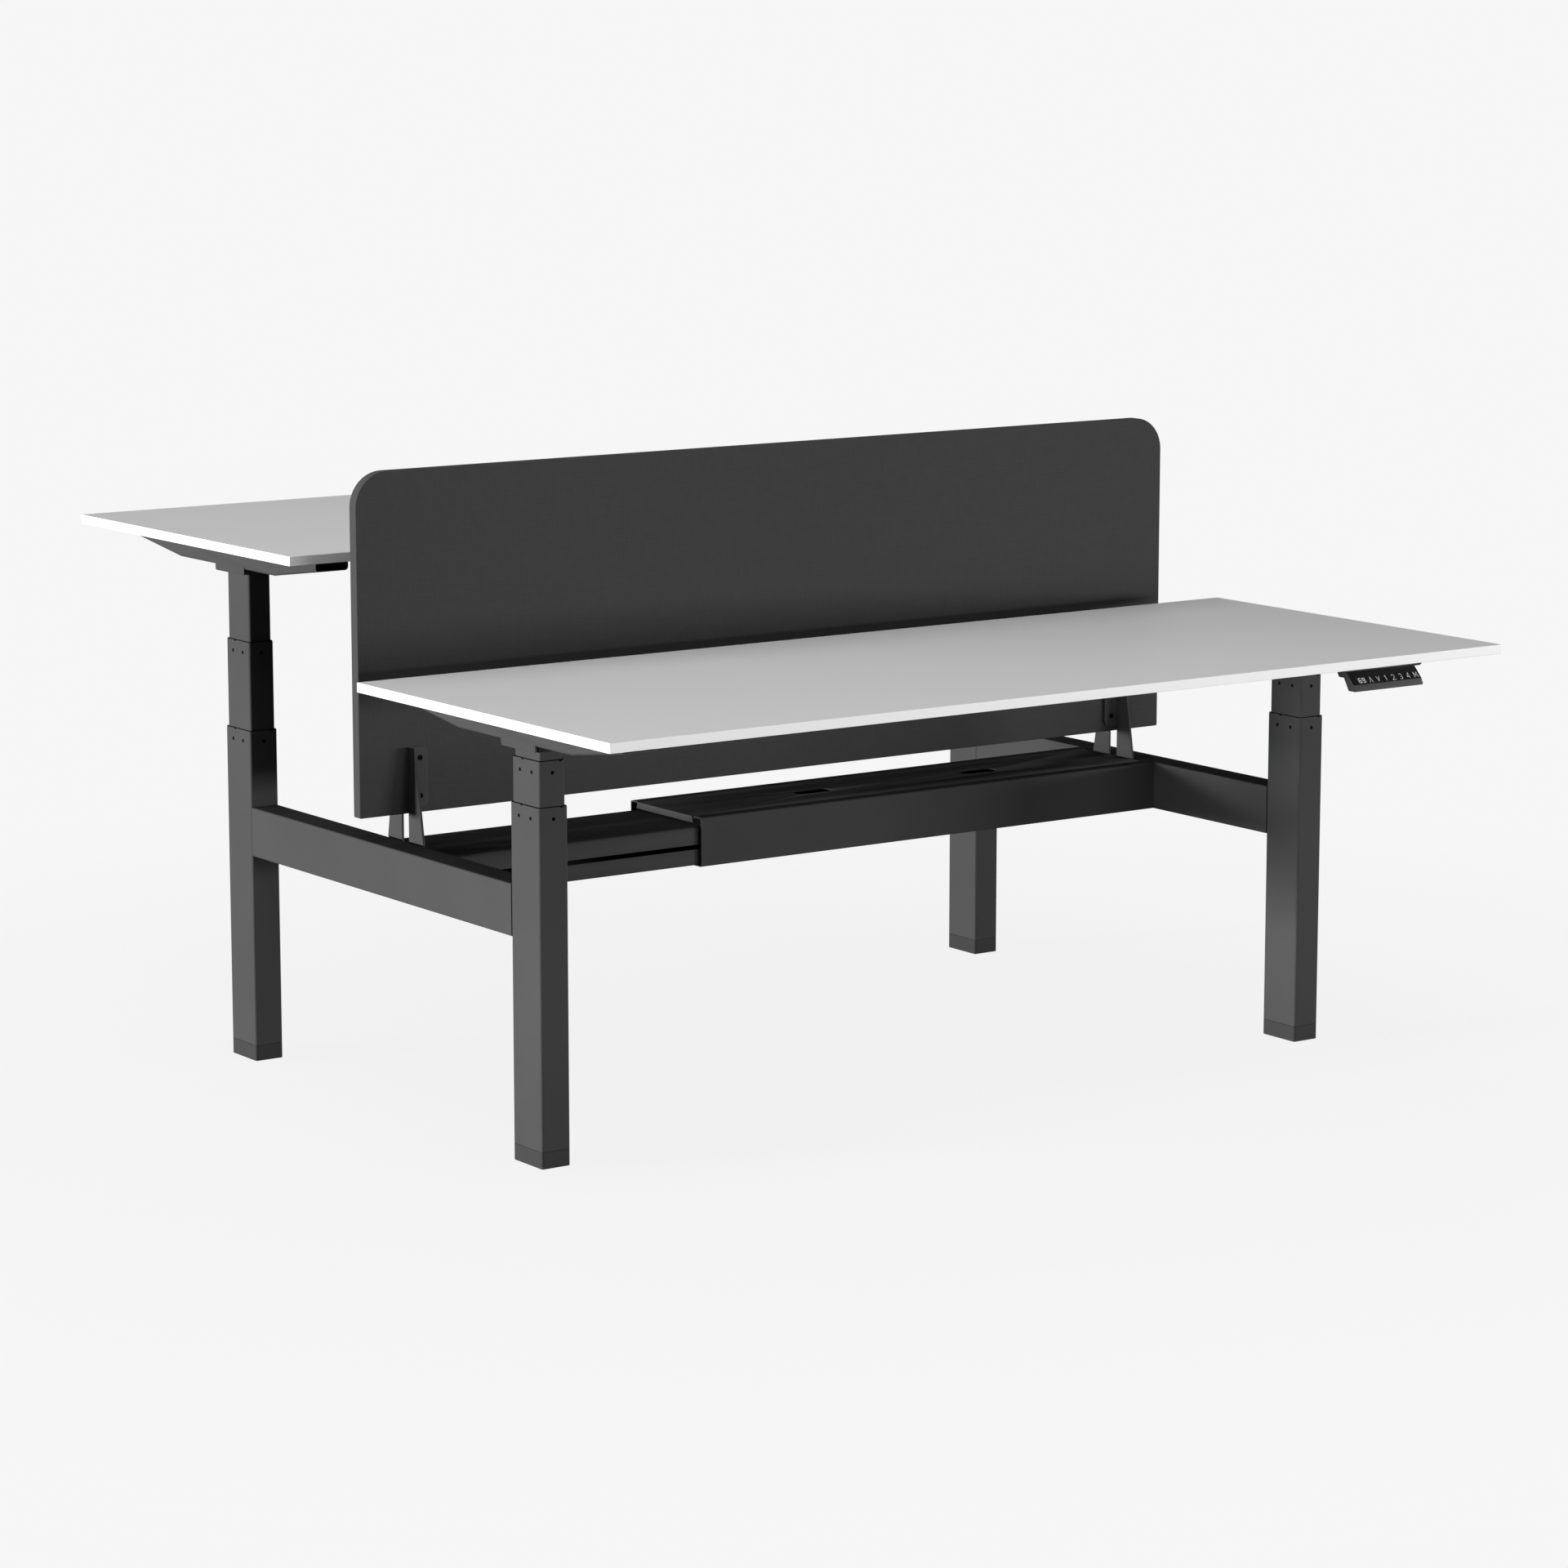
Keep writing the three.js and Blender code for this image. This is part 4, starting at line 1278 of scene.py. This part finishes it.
@dataclass
class ScreenUnit:
    """The screen, its four brackets and their screws."""

    corner: float = 55.0 * MM
    lower_corner: float = 2.5 * MM
    corner_steps: int = 24
    edge: float = 1.6 * MM
    bracket_edge: float = 0.5 * MM
    flange_height: float = 94.0 * MM
    flange_face: float = 4.3 * MM
    screw_inset: float = 20.0 * MM
    screw_ends: float = 17.0 * MM
    head: ScrewHead = field(default_factory=lambda: ScrewHead(diameter=8.0 * MM))

    def build(self) -> None:
        """Builds the panel, then the brackets."""
        middle, size = node_box("screen_panel")
        radii = [self.corner, self.corner, self.lower_corner, self.lower_corner]
        panel = slab(size[0], size[2], size[1], radii, self.edge, self.corner_steps)
        panel = panel.moved(shift(*middle) @ turn(Axis.X, QUARTER) @ shift(0, 0, -size[1] / 2))
        Piece.add("screen", panel, CLOTH, Slot.SCREEN, "frame", ["screen_panel"])
        for side in Side:
            for end in End:
                self.bracket(side, end)

    def bracket(self, side: Side, end: End) -> None:
        """A bracket and the two screws through its flange.

        Args:
            side: The face of the screen that it stands on.
            end: The end of the screen that it holds.
        """
        place = f"{side.label}_{end.label}"
        node = f"screen_bracket_{place}"
        Piece.ease(f"bracket_{place}", node, self.bracket_edge, COAT, Slot.STEEL, "frame")
        across = -1 if side is Side.NEAR else 1
        low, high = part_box(node)
        outer = low[0] if end is End.LEFT else high[0]
        x = outer - end.value * self.screw_inset
        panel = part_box("screen_panel")[1][1]
        y = across * (panel + self.flange_face)
        heads = [
            self.head.shell().moved(shift(x, y, z) @ facing(Axis.Y, across))
            for z in (high[2] - self.screw_ends, high[2] - self.flange_height + self.screw_ends)
        ]
        Piece.add(f"bracket_screws_{place}", Shell.joined(heads), BLACK_SCREW, Slot.SCREW, "frame")


@dataclass
class Desk:
    """One desk: the board, its arms and drive, the crossbar and the control box."""

    side: Side
    board_corner: float = 1.5 * MM
    board_edge: float = 0.8 * MM
    band_cosine: float = 0.3
    bar_corner: float = 4.0 * MM
    bar_wall: float = 2.0 * MM
    arm_screws: tuple[float, ...] = (-250.0 * MM, -110.0 * MM, 110.0 * MM, 250.0 * MM)
    arm_screw_out: float = 37.5 * MM
    arm_sheet: float = 2.5 * MM
    arm_edge: float = 0.6 * MM
    drive_edge: float = 0.8 * MM
    box_edge: float = 0.8 * MM
    ear_sheet: float = 4.0 * MM
    ear_screw_inset: float = 9.0 * MM
    head: ScrewHead = field(default_factory=lambda: ScrewHead(diameter=10.0 * MM, height=3.0 * MM))

    @property
    def body(self) -> str:
        """The body that the desk is."""
        return f"{self.side.label}_desk"

    def build(self) -> None:
        """Builds the desk from the board down."""
        self.board()
        for end in End:
            self.arm(end)
        self.crossbar()
        self.control_box()

    def board(self) -> None:
        """The desktop: a rounded slab whose rim carries the edge band."""
        node = f"desktop_{self.side.label}"
        middle, size = node_box(node)
        shell = slab(*size, [self.board_corner] * 4, self.board_edge, 4)
        shell = shell.moved(shift(middle[0], middle[1], middle[2] - size[2] / 2))
        made = Piece.add(f"board_{self.side.label}", shell, FACE, Slot.BOARD, self.body, [node])
        for axis in (Axis.X, Axis.Y):
            for sign in (-1, 1):
                Piece.mark(made, BAND, sign * np.eye(3)[axis.value], self.band_cosine)

    def arm(self, end: End) -> None:
        """An arm, its drive and the screws that hold its flanges to the board.

        Args:
            end: The arm's end of the bench.
        """
        place, body = f"{self.side.label}_{end.label}", self.body
        arm, motor = f"arm_{place}", f"gear_motor_{place}"
        Piece.ease(f"desk_arm_{place}", arm, self.arm_edge, COAT, Slot.STEEL, body)
        # The drive's near-black finish is partly its own black and partly painted shade of the
        # channel between the skirts.
        Piece.ease(f"drive_{place}", motor, self.drive_edge, CAST_BLACK_AND_SHADE, Slot.MOTOR, body)
        tube, _ = node_box(f"inner_tube_{place}")
        middle, size = node_box(arm)
        z = middle[2] + size[2] / 2 - self.arm_sheet
        self.heads(f"arm_screws_{place}", [
            (tube[0] + sign * self.arm_screw_out, middle[1] + along, z)
            for sign in (-1, 1) for along in self.arm_screws
        ])

    def heads(self, name: str, places: Sequence[Place]) -> None:
        """Screw heads that look down.

        Args:
            name: The name of the piece that they make.
            places: The middle of each head's upper face.
        """
        down = self.head.shell().moved(facing(Axis.Z, -1))
        shell = Shell.joined(down.moved(shift(*place)) for place in places)
        Piece.add(name, shell, BLACK_SCREW, Slot.SCREW, self.body)

    def crossbar(self) -> None:
        """The crossbar: a tube drawn along Z, its axes then moved on by one so that Z becomes X."""
        node = f"crossbar_{self.side.label}"
        middle, size = node_box(node)
        bar = pipe(size[1], size[2], size[0], self.bar_corner, self.bar_wall)
        bar = bar.moved(turn(Axis.X, QUARTER) @ turn(Axis.Y, QUARTER) @ shift(0, 0, -size[0] / 2))
        bar = bar.moved(shift(*middle))
        Piece.add(f"cross_tube_{self.side.label}", bar, COAT, Slot.STEEL, self.body, [node])

    def control_box(self) -> None:
        """The control box and the screws in its ears."""
        name = self.side.label
        node = f"control_box_{name}"
        Piece.ease(f"controller_{name}", node, self.box_edge, CASE, Slot.BOX, self.body)
        middle, size = node_box(node)
        z = middle[2] + size[2] / 2 - self.ear_sheet
        out = size[0] / 2 - self.ear_screw_inset
        self.heads(f"controller_screws_{name}", [
            (middle[0] + sign * out, middle[1], z) for sign in (-1, 1)
        ])


def arc(centre: Sequence[float], radius: Sequence[float], start: float, stop: float) -> np.ndarray:
    """Points on an ellipse: centre plus (a cos t, b sin t), angles in degrees."""
    angles = np.radians(np.linspace(start, stop, 9))
    return np.column_stack((np.cos(angles), np.sin(angles))) * radius + centre


def legends() -> dict[str, np.ndarray]:
    """Stroke paths of the key legends, in a box 1 high with its foot at 0.

    Returns:
        Each key's word and the points of its legend.
    """
    return {
        "up": np.array([[-0.3, 0.0], [0.0, 1.0], [0.3, 0.0]]),
        "down": np.array([[-0.3, 1.0], [0.0, 0.12], [0.3, 1.0]]),
        "1": np.array([[-0.2, 0.76], [0.05, 1.0], [0.05, 0.0]]),
        "2": np.concatenate((arc((0, 0.72), (0.28, 0.28), 165, -35), [[-0.28, 0.0], [0.3, 0.0]])),
        "3": np.concatenate((
            arc((0, 0.75), (0.25, 0.25), 150, -80), arc((0, 0.26), (0.29, 0.26), 80, -150),
        )),
        "4": np.array([[0.14, 0.0], [0.14, 1.0], [-0.3, 0.3], [0.32, 0.3]]),
        "memory": np.array([[-0.34, 0.0], [-0.34, 1.0], [0.0, 0.3], [0.34, 1.0], [0.34, 0.0]]),
    }


def digit(number: str) -> list[np.ndarray]:
    """The lit bars of a seven-bar digit, in a box 1 high and 0.55 wide.

    Args:
        number: The digit.

    Returns:
        The two ends of each lit bar.
    """
    wide, gap = 0.55, 0.04
    bars = {
        "a": ((0, 1), (wide, 1)), "b": ((wide, 1), (wide, 0.5)), "c": ((wide, 0.5), (wide, 0)),
        "d": ((0, 0), (wide, 0)), "e": ((0, 0), (0, 0.5)), "f": ((0, 0.5), (0, 1)),
        "g": ((0, 0.5), (wide, 0.5)),
    }
    lit = {"6": "acdefg", "8": "abcdefg", "9": "abcdfg"}[number]
    paths = []
    for bar in lit:
        ends = np.array(bars[bar], float)
        reach = (ends[1] - ends[0]) / np.linalg.norm(ends[1] - ends[0])
        paths.append(ends + np.array([[gap], [-gap]]) * reach)
    return paths


@dataclass
class Handset:
    """The handset under a desk's front edge: its case, seven keys with legends, and the display."""

    side: Side
    shown: str
    width: float = 142.0 * MM
    case_edge: float = 0.5 * MM
    place_x: float = 590.0 * MM
    front_y: float = -800.0 * MM
    face_drop: float = 1.5 * MM
    tilt: float = math.atan2(19.0, 18.0)
    key_pitch: float = 15.65 * MM
    first_key: float = 39.4 * MM
    key_size: tuple[float, float] = (14.2 * MM, 13.0 * MM)
    key_height: float = 4.6 * MM
    key_corner: float = 1.6 * MM
    key_edge: float = 0.4 * MM
    key_proud: float = 0.4 * MM
    key_down: float = 18.3 * MM
    legend_height: float = 9.8 * MM
    legend_stroke: float = 0.72 * MM
    legend_foot: float = -5.7 * MM
    display_place: float = 21.7 * MM
    display_size: tuple[float, float] = (17.1 * MM, 10.6 * MM)
    display_recess: float = 0.6 * MM
    pane: float = 0.3 * MM
    pane_corner: float = 1.0 * MM
    pane_edge: float = 0.1 * MM
    digit_height: float = 8.0 * MM
    digit_stroke: float = 0.75 * MM
    digit_pitch: float = 7.6 * MM
    first_digit: float = -6.0 * MM
    ink: float = 0.06 * MM

    @property
    def face(self) -> np.ndarray:
        """The matrix of the sloping face: +X along it, +Y up the slope and +Z out of it.

        Returns:
            A 4 by 4 matrix.
        """
        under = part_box(f"desktop_{self.side.label}")[0][2]
        corner = shift(self.place_x - self.width / 2, self.front_y, under - self.face_drop)
        return turn(Axis.Z, self.side.value) @ corner @ turn(Axis.X, self.tilt)

    def build(self) -> None:
        """Builds the case, the keys and the display."""
        name, desk = self.side.label, f"{self.side.label}_desk"
        node, edge = f"handset_{name}", self.case_edge
        case = Piece.ease(f"keypad_{name}", node, edge, CASE, Slot.HANDSET, desk)
        Piece.mark(case, PANEL, self.face[:3, 2])
        for index, (word, path) in enumerate(legends().items()):
            spot = self.face @ shift(self.first_key + index * self.key_pitch, -self.key_down, 0)
            self.key(word, path, spot)
        self.display(desk)

    def key(self, word: str, path: np.ndarray, spot: np.ndarray) -> None:
        """One key cap and its legend.

        Args:
            word: The key's name.
            path: The legend's stroke.
            spot: The matrix of the key's place.
        """
        name, body = self.side.label, f"{self.side.label}_key_{word}"
        cap = slab(*self.key_size, self.key_height, [self.key_corner] * 4, self.key_edge)
        cap = cap.moved(spot @ shift(0, 0, self.key_proud - self.key_height))
        Piece.add(f"cap_{word}_{name}", cap, KEY, Slot.KEY, body, [f"key_{word}_{name}"])
        drawn = path * self.legend_height + np.array([0, self.legend_foot])
        stroke = ribbon(drawn, self.legend_stroke, self.ink)
        stroke = stroke.moved(spot @ shift(0, 0, self.key_proud))
        Piece.add(f"legend_{word}_{name}", stroke, LEGEND, Slot.KEY, body)

    def display(self, desk: str) -> None:
        """The display window and its two digits.

        Args:
            desk: The body that they move with.
        """
        name = self.side.label
        spot = self.face @ shift(self.display_place, -self.key_down, -self.display_recess)
        pane = slab(*self.display_size, self.pane, [self.pane_corner] * 4, self.pane_edge)
        Piece.add(f"window_{name}", pane.moved(spot), GLASS, Slot.HANDSET, desk)
        bars = [
            ribbon(path * self.digit_height, self.digit_stroke, self.ink)
            .moved(shift(self.first_digit + place * self.digit_pitch, -self.digit_height / 2, 0))
            for place, number in enumerate(self.shown) for path in digit(number)
        ]
        shell = Shell.joined(bars).moved(spot @ shift(0, 0, self.pane))
        Piece.add(f"digits_{name}", shell, DIGITS, Slot.HANDSET, desk)


@dataclass(frozen=True)
class Lamp:
    """A soft lamp, open or behind a grid: sizes in metres, power in watts, spread in degrees."""

    name: str
    place: Place
    aim: Place
    size: tuple[float, float]
    power: float
    spread: float = 180.0

    def build(self) -> None:
        """Hangs the lamp in its place, facing its aim, out of the camera's sight."""
        data = bpy.data.lights.new(self.name, "AREA")
        data.energy = self.power
        data.spread = math.radians(self.spread)
        data.shape = "RECTANGLE"
        data.size, data.size_y = self.size
        made = placed(self.name, data)
        made.visible_camera = False
        made.location = self.place
        way = Vector(self.aim) - Vector(self.place)
        made.rotation_euler = way.to_track_quat("-Z", "Y").to_euler()


LAMPS = (
    Lamp("side_lamp", (-14.5, 4.8, 0.9), (0.0, 0.0, 0.5), (3.4, 1.8), 5700.0),
    Lamp("left_lamp", (-9.5, -3.6, 0.4), (0.75, -0.5, 0.35), (0.7, 0.6), 1.5, spread=9.0),
    Lamp("near_top_lamp", (-1.15, -1.9, 4.3), (-1.15, -1.9, 0.0), (3.6, 1.8), 99.0),
    Lamp("far_top_lamp", (-0.95, 1.7, 4.3), (-0.95, 1.7, 0.0), (3.6, 1.8), 42.0),
    Lamp("front_lamp", (1.5, -6.5, 0.55), (0.0, 0.0, 0.5), (2.4, 0.7), 112.0),
    Lamp("right_lamp", (8.0, -7.0, 0.55), (0.2, 0.0, 0.5), (4.0, 0.8), 820.0),
    Lamp("end_lamp", (9.0, 1.8, 0.4), (0.0, 0.0, 0.4), (3.0, 0.55), 420.0),
)


@dataclass
class Studio:
    """The backdrop, the floor, the lamps and the camera."""

    backdrop: float = 0.9216
    ambient: float = 0.04
    bounce: float = 0.3
    floor_grey: float = 0.8
    floor_drop: float = 0.5 * MM
    floor_rings: tuple[float, ...] = (14.0, 6.0, 2.5, 1.0, 0.02)
    floor_steps: int = 96
    shadow_share: float = 0.06
    shadow_fade: tuple[float, float] = (0.8, 2.6)
    camera_place: Place = (-4.4393, -6.3062, 1.7678)
    camera_turn: float = math.radians(35.2148)
    camera_dip: float = math.radians(9.7784)
    focal_pixels: float = 5846.29
    sensor: float = 36.0
    clip_end: float = 200.0

    def build(self) -> None:
        """Builds the studio."""
        self.world()
        self.floor()
        for lamp in LAMPS:
            lamp.build()
        self.camera()
        bpy.context.scene.view_settings.view_transform = "Standard"

    @staticmethod
    def mixed(graph: Graph, factor: Signal, first: Signal, second: Signal) -> Signal:
        """A mix of two shaders by a factor from 0 to 1."""
        return graph.node("ShaderNodeMixShader", inputs={0: factor, 1: first, 2: second})

    @staticmethod
    def seen(graph: Graph) -> Signal:
        """Tells seen rays from those that only carry light.

        Args:
            graph: The graph to add to.

        Returns:
            1 for a ray from the camera, a mirror or a clear piece, and 0 for other rays.
        """
        rays = [
            graph.node("ShaderNodeLightPath", output=ray)
            for ray in ("Is Camera Ray", "Is Glossy Ray", "Is Transmission Ray")
        ]
        return (rays[0] + rays[1] + rays[2]).math("MINIMUM", 1.0)

    def world(self) -> None:
        """A pale backdrop that lights the object softly."""
        world = bpy.data.worlds.new("backdrop")
        bpy.context.scene.world = world
        world.use_nodes = True
        graph = Graph(world.node_tree)
        soft, pale = (
            graph.node("ShaderNodeBackground", inputs={"Color": WHITE, "Strength": strength})
            for strength in (self.ambient, self.backdrop)
        )
        graph.close(self.mixed(graph, self.seen(graph), soft, pale), world=True)

    def floor(self) -> None:
        """A pale disc, as rings of points about Z."""
        rings = np.array(self.floor_rings)[:, None]
        angles = np.linspace(0, 2 * math.pi, self.floor_steps, endpoint=False)[None, :]
        shell = woven(turned(rings, angles, np.array(-self.floor_drop)))
        middle = np.arange(len(shell.points))[-angles.size:]
        mesh = bpy.data.meshes.new("floor")
        mesh.from_pydata(shell.points.tolist(), [], [*shell.faces, middle.tolist()])
        made = placed("floor", mesh)
        mesh.materials.append(self.floor_material())

    def floor_material(self) -> bpy.types.Material:
        """The floor's soft shadow fades into the backdrop; from below the floor is clear.

        Returns:
            The material.
        """
        material = bpy.data.materials.new("floor")
        material.use_nodes = True
        graph = Graph(material.node_tree)
        matt, dim = (
            graph.node("ShaderNodeBsdfDiffuse", inputs={"Color": (grey, grey, grey, 1.0)})
            for grey in (self.floor_grey, self.bounce)
        )
        glow = graph.node("ShaderNodeEmission", inputs={"Color": WHITE, "Strength": self.backdrop})
        along, across, _ = graph.axes()
        away = (along * along + across * across) ** 0.5
        share = (1 - away.step(*self.shadow_fade)) * self.shadow_share
        pale = self.mixed(graph, share, glow, matt)
        above = self.mixed(graph, self.seen(graph), dim, pale)
        below = graph.node("ShaderNodeNewGeometry", output="Backfacing")
        clear = graph.node("ShaderNodeBsdfTransparent")
        graph.close(self.mixed(graph, below, above, clear))
        return material

    def camera(self) -> None:
        """The camera, level across, looking down at the bench."""
        data = bpy.data.cameras.new("camera")
        data.lens = self.focal_pixels / PHOTO_WIDTH * self.sensor
        data.sensor_width = self.sensor
        data.clip_end = self.clip_end
        made = placed("camera", data)
        made.location = self.camera_place
        made.rotation_euler = (QUARTER - self.camera_dip, 0.0, -self.camera_turn)
        bpy.context.scene.camera = made


def main() -> None:
    """Builds the bench, then the studio."""
    logging.basicConfig(level=logging.INFO, format="%(name)s: %(message)s")
    for side in Side:
        for end in End:
            Column(side, end).build()
    CentreBeam().build()
    ScreenUnit().build()
    for side, shown in ((Side.NEAR, "69"), (Side.FAR, "86")):
        Desk(side).build()
        Handset(side, shown).build()
    Studio().build()


if __name__ == "__main__":
    main()
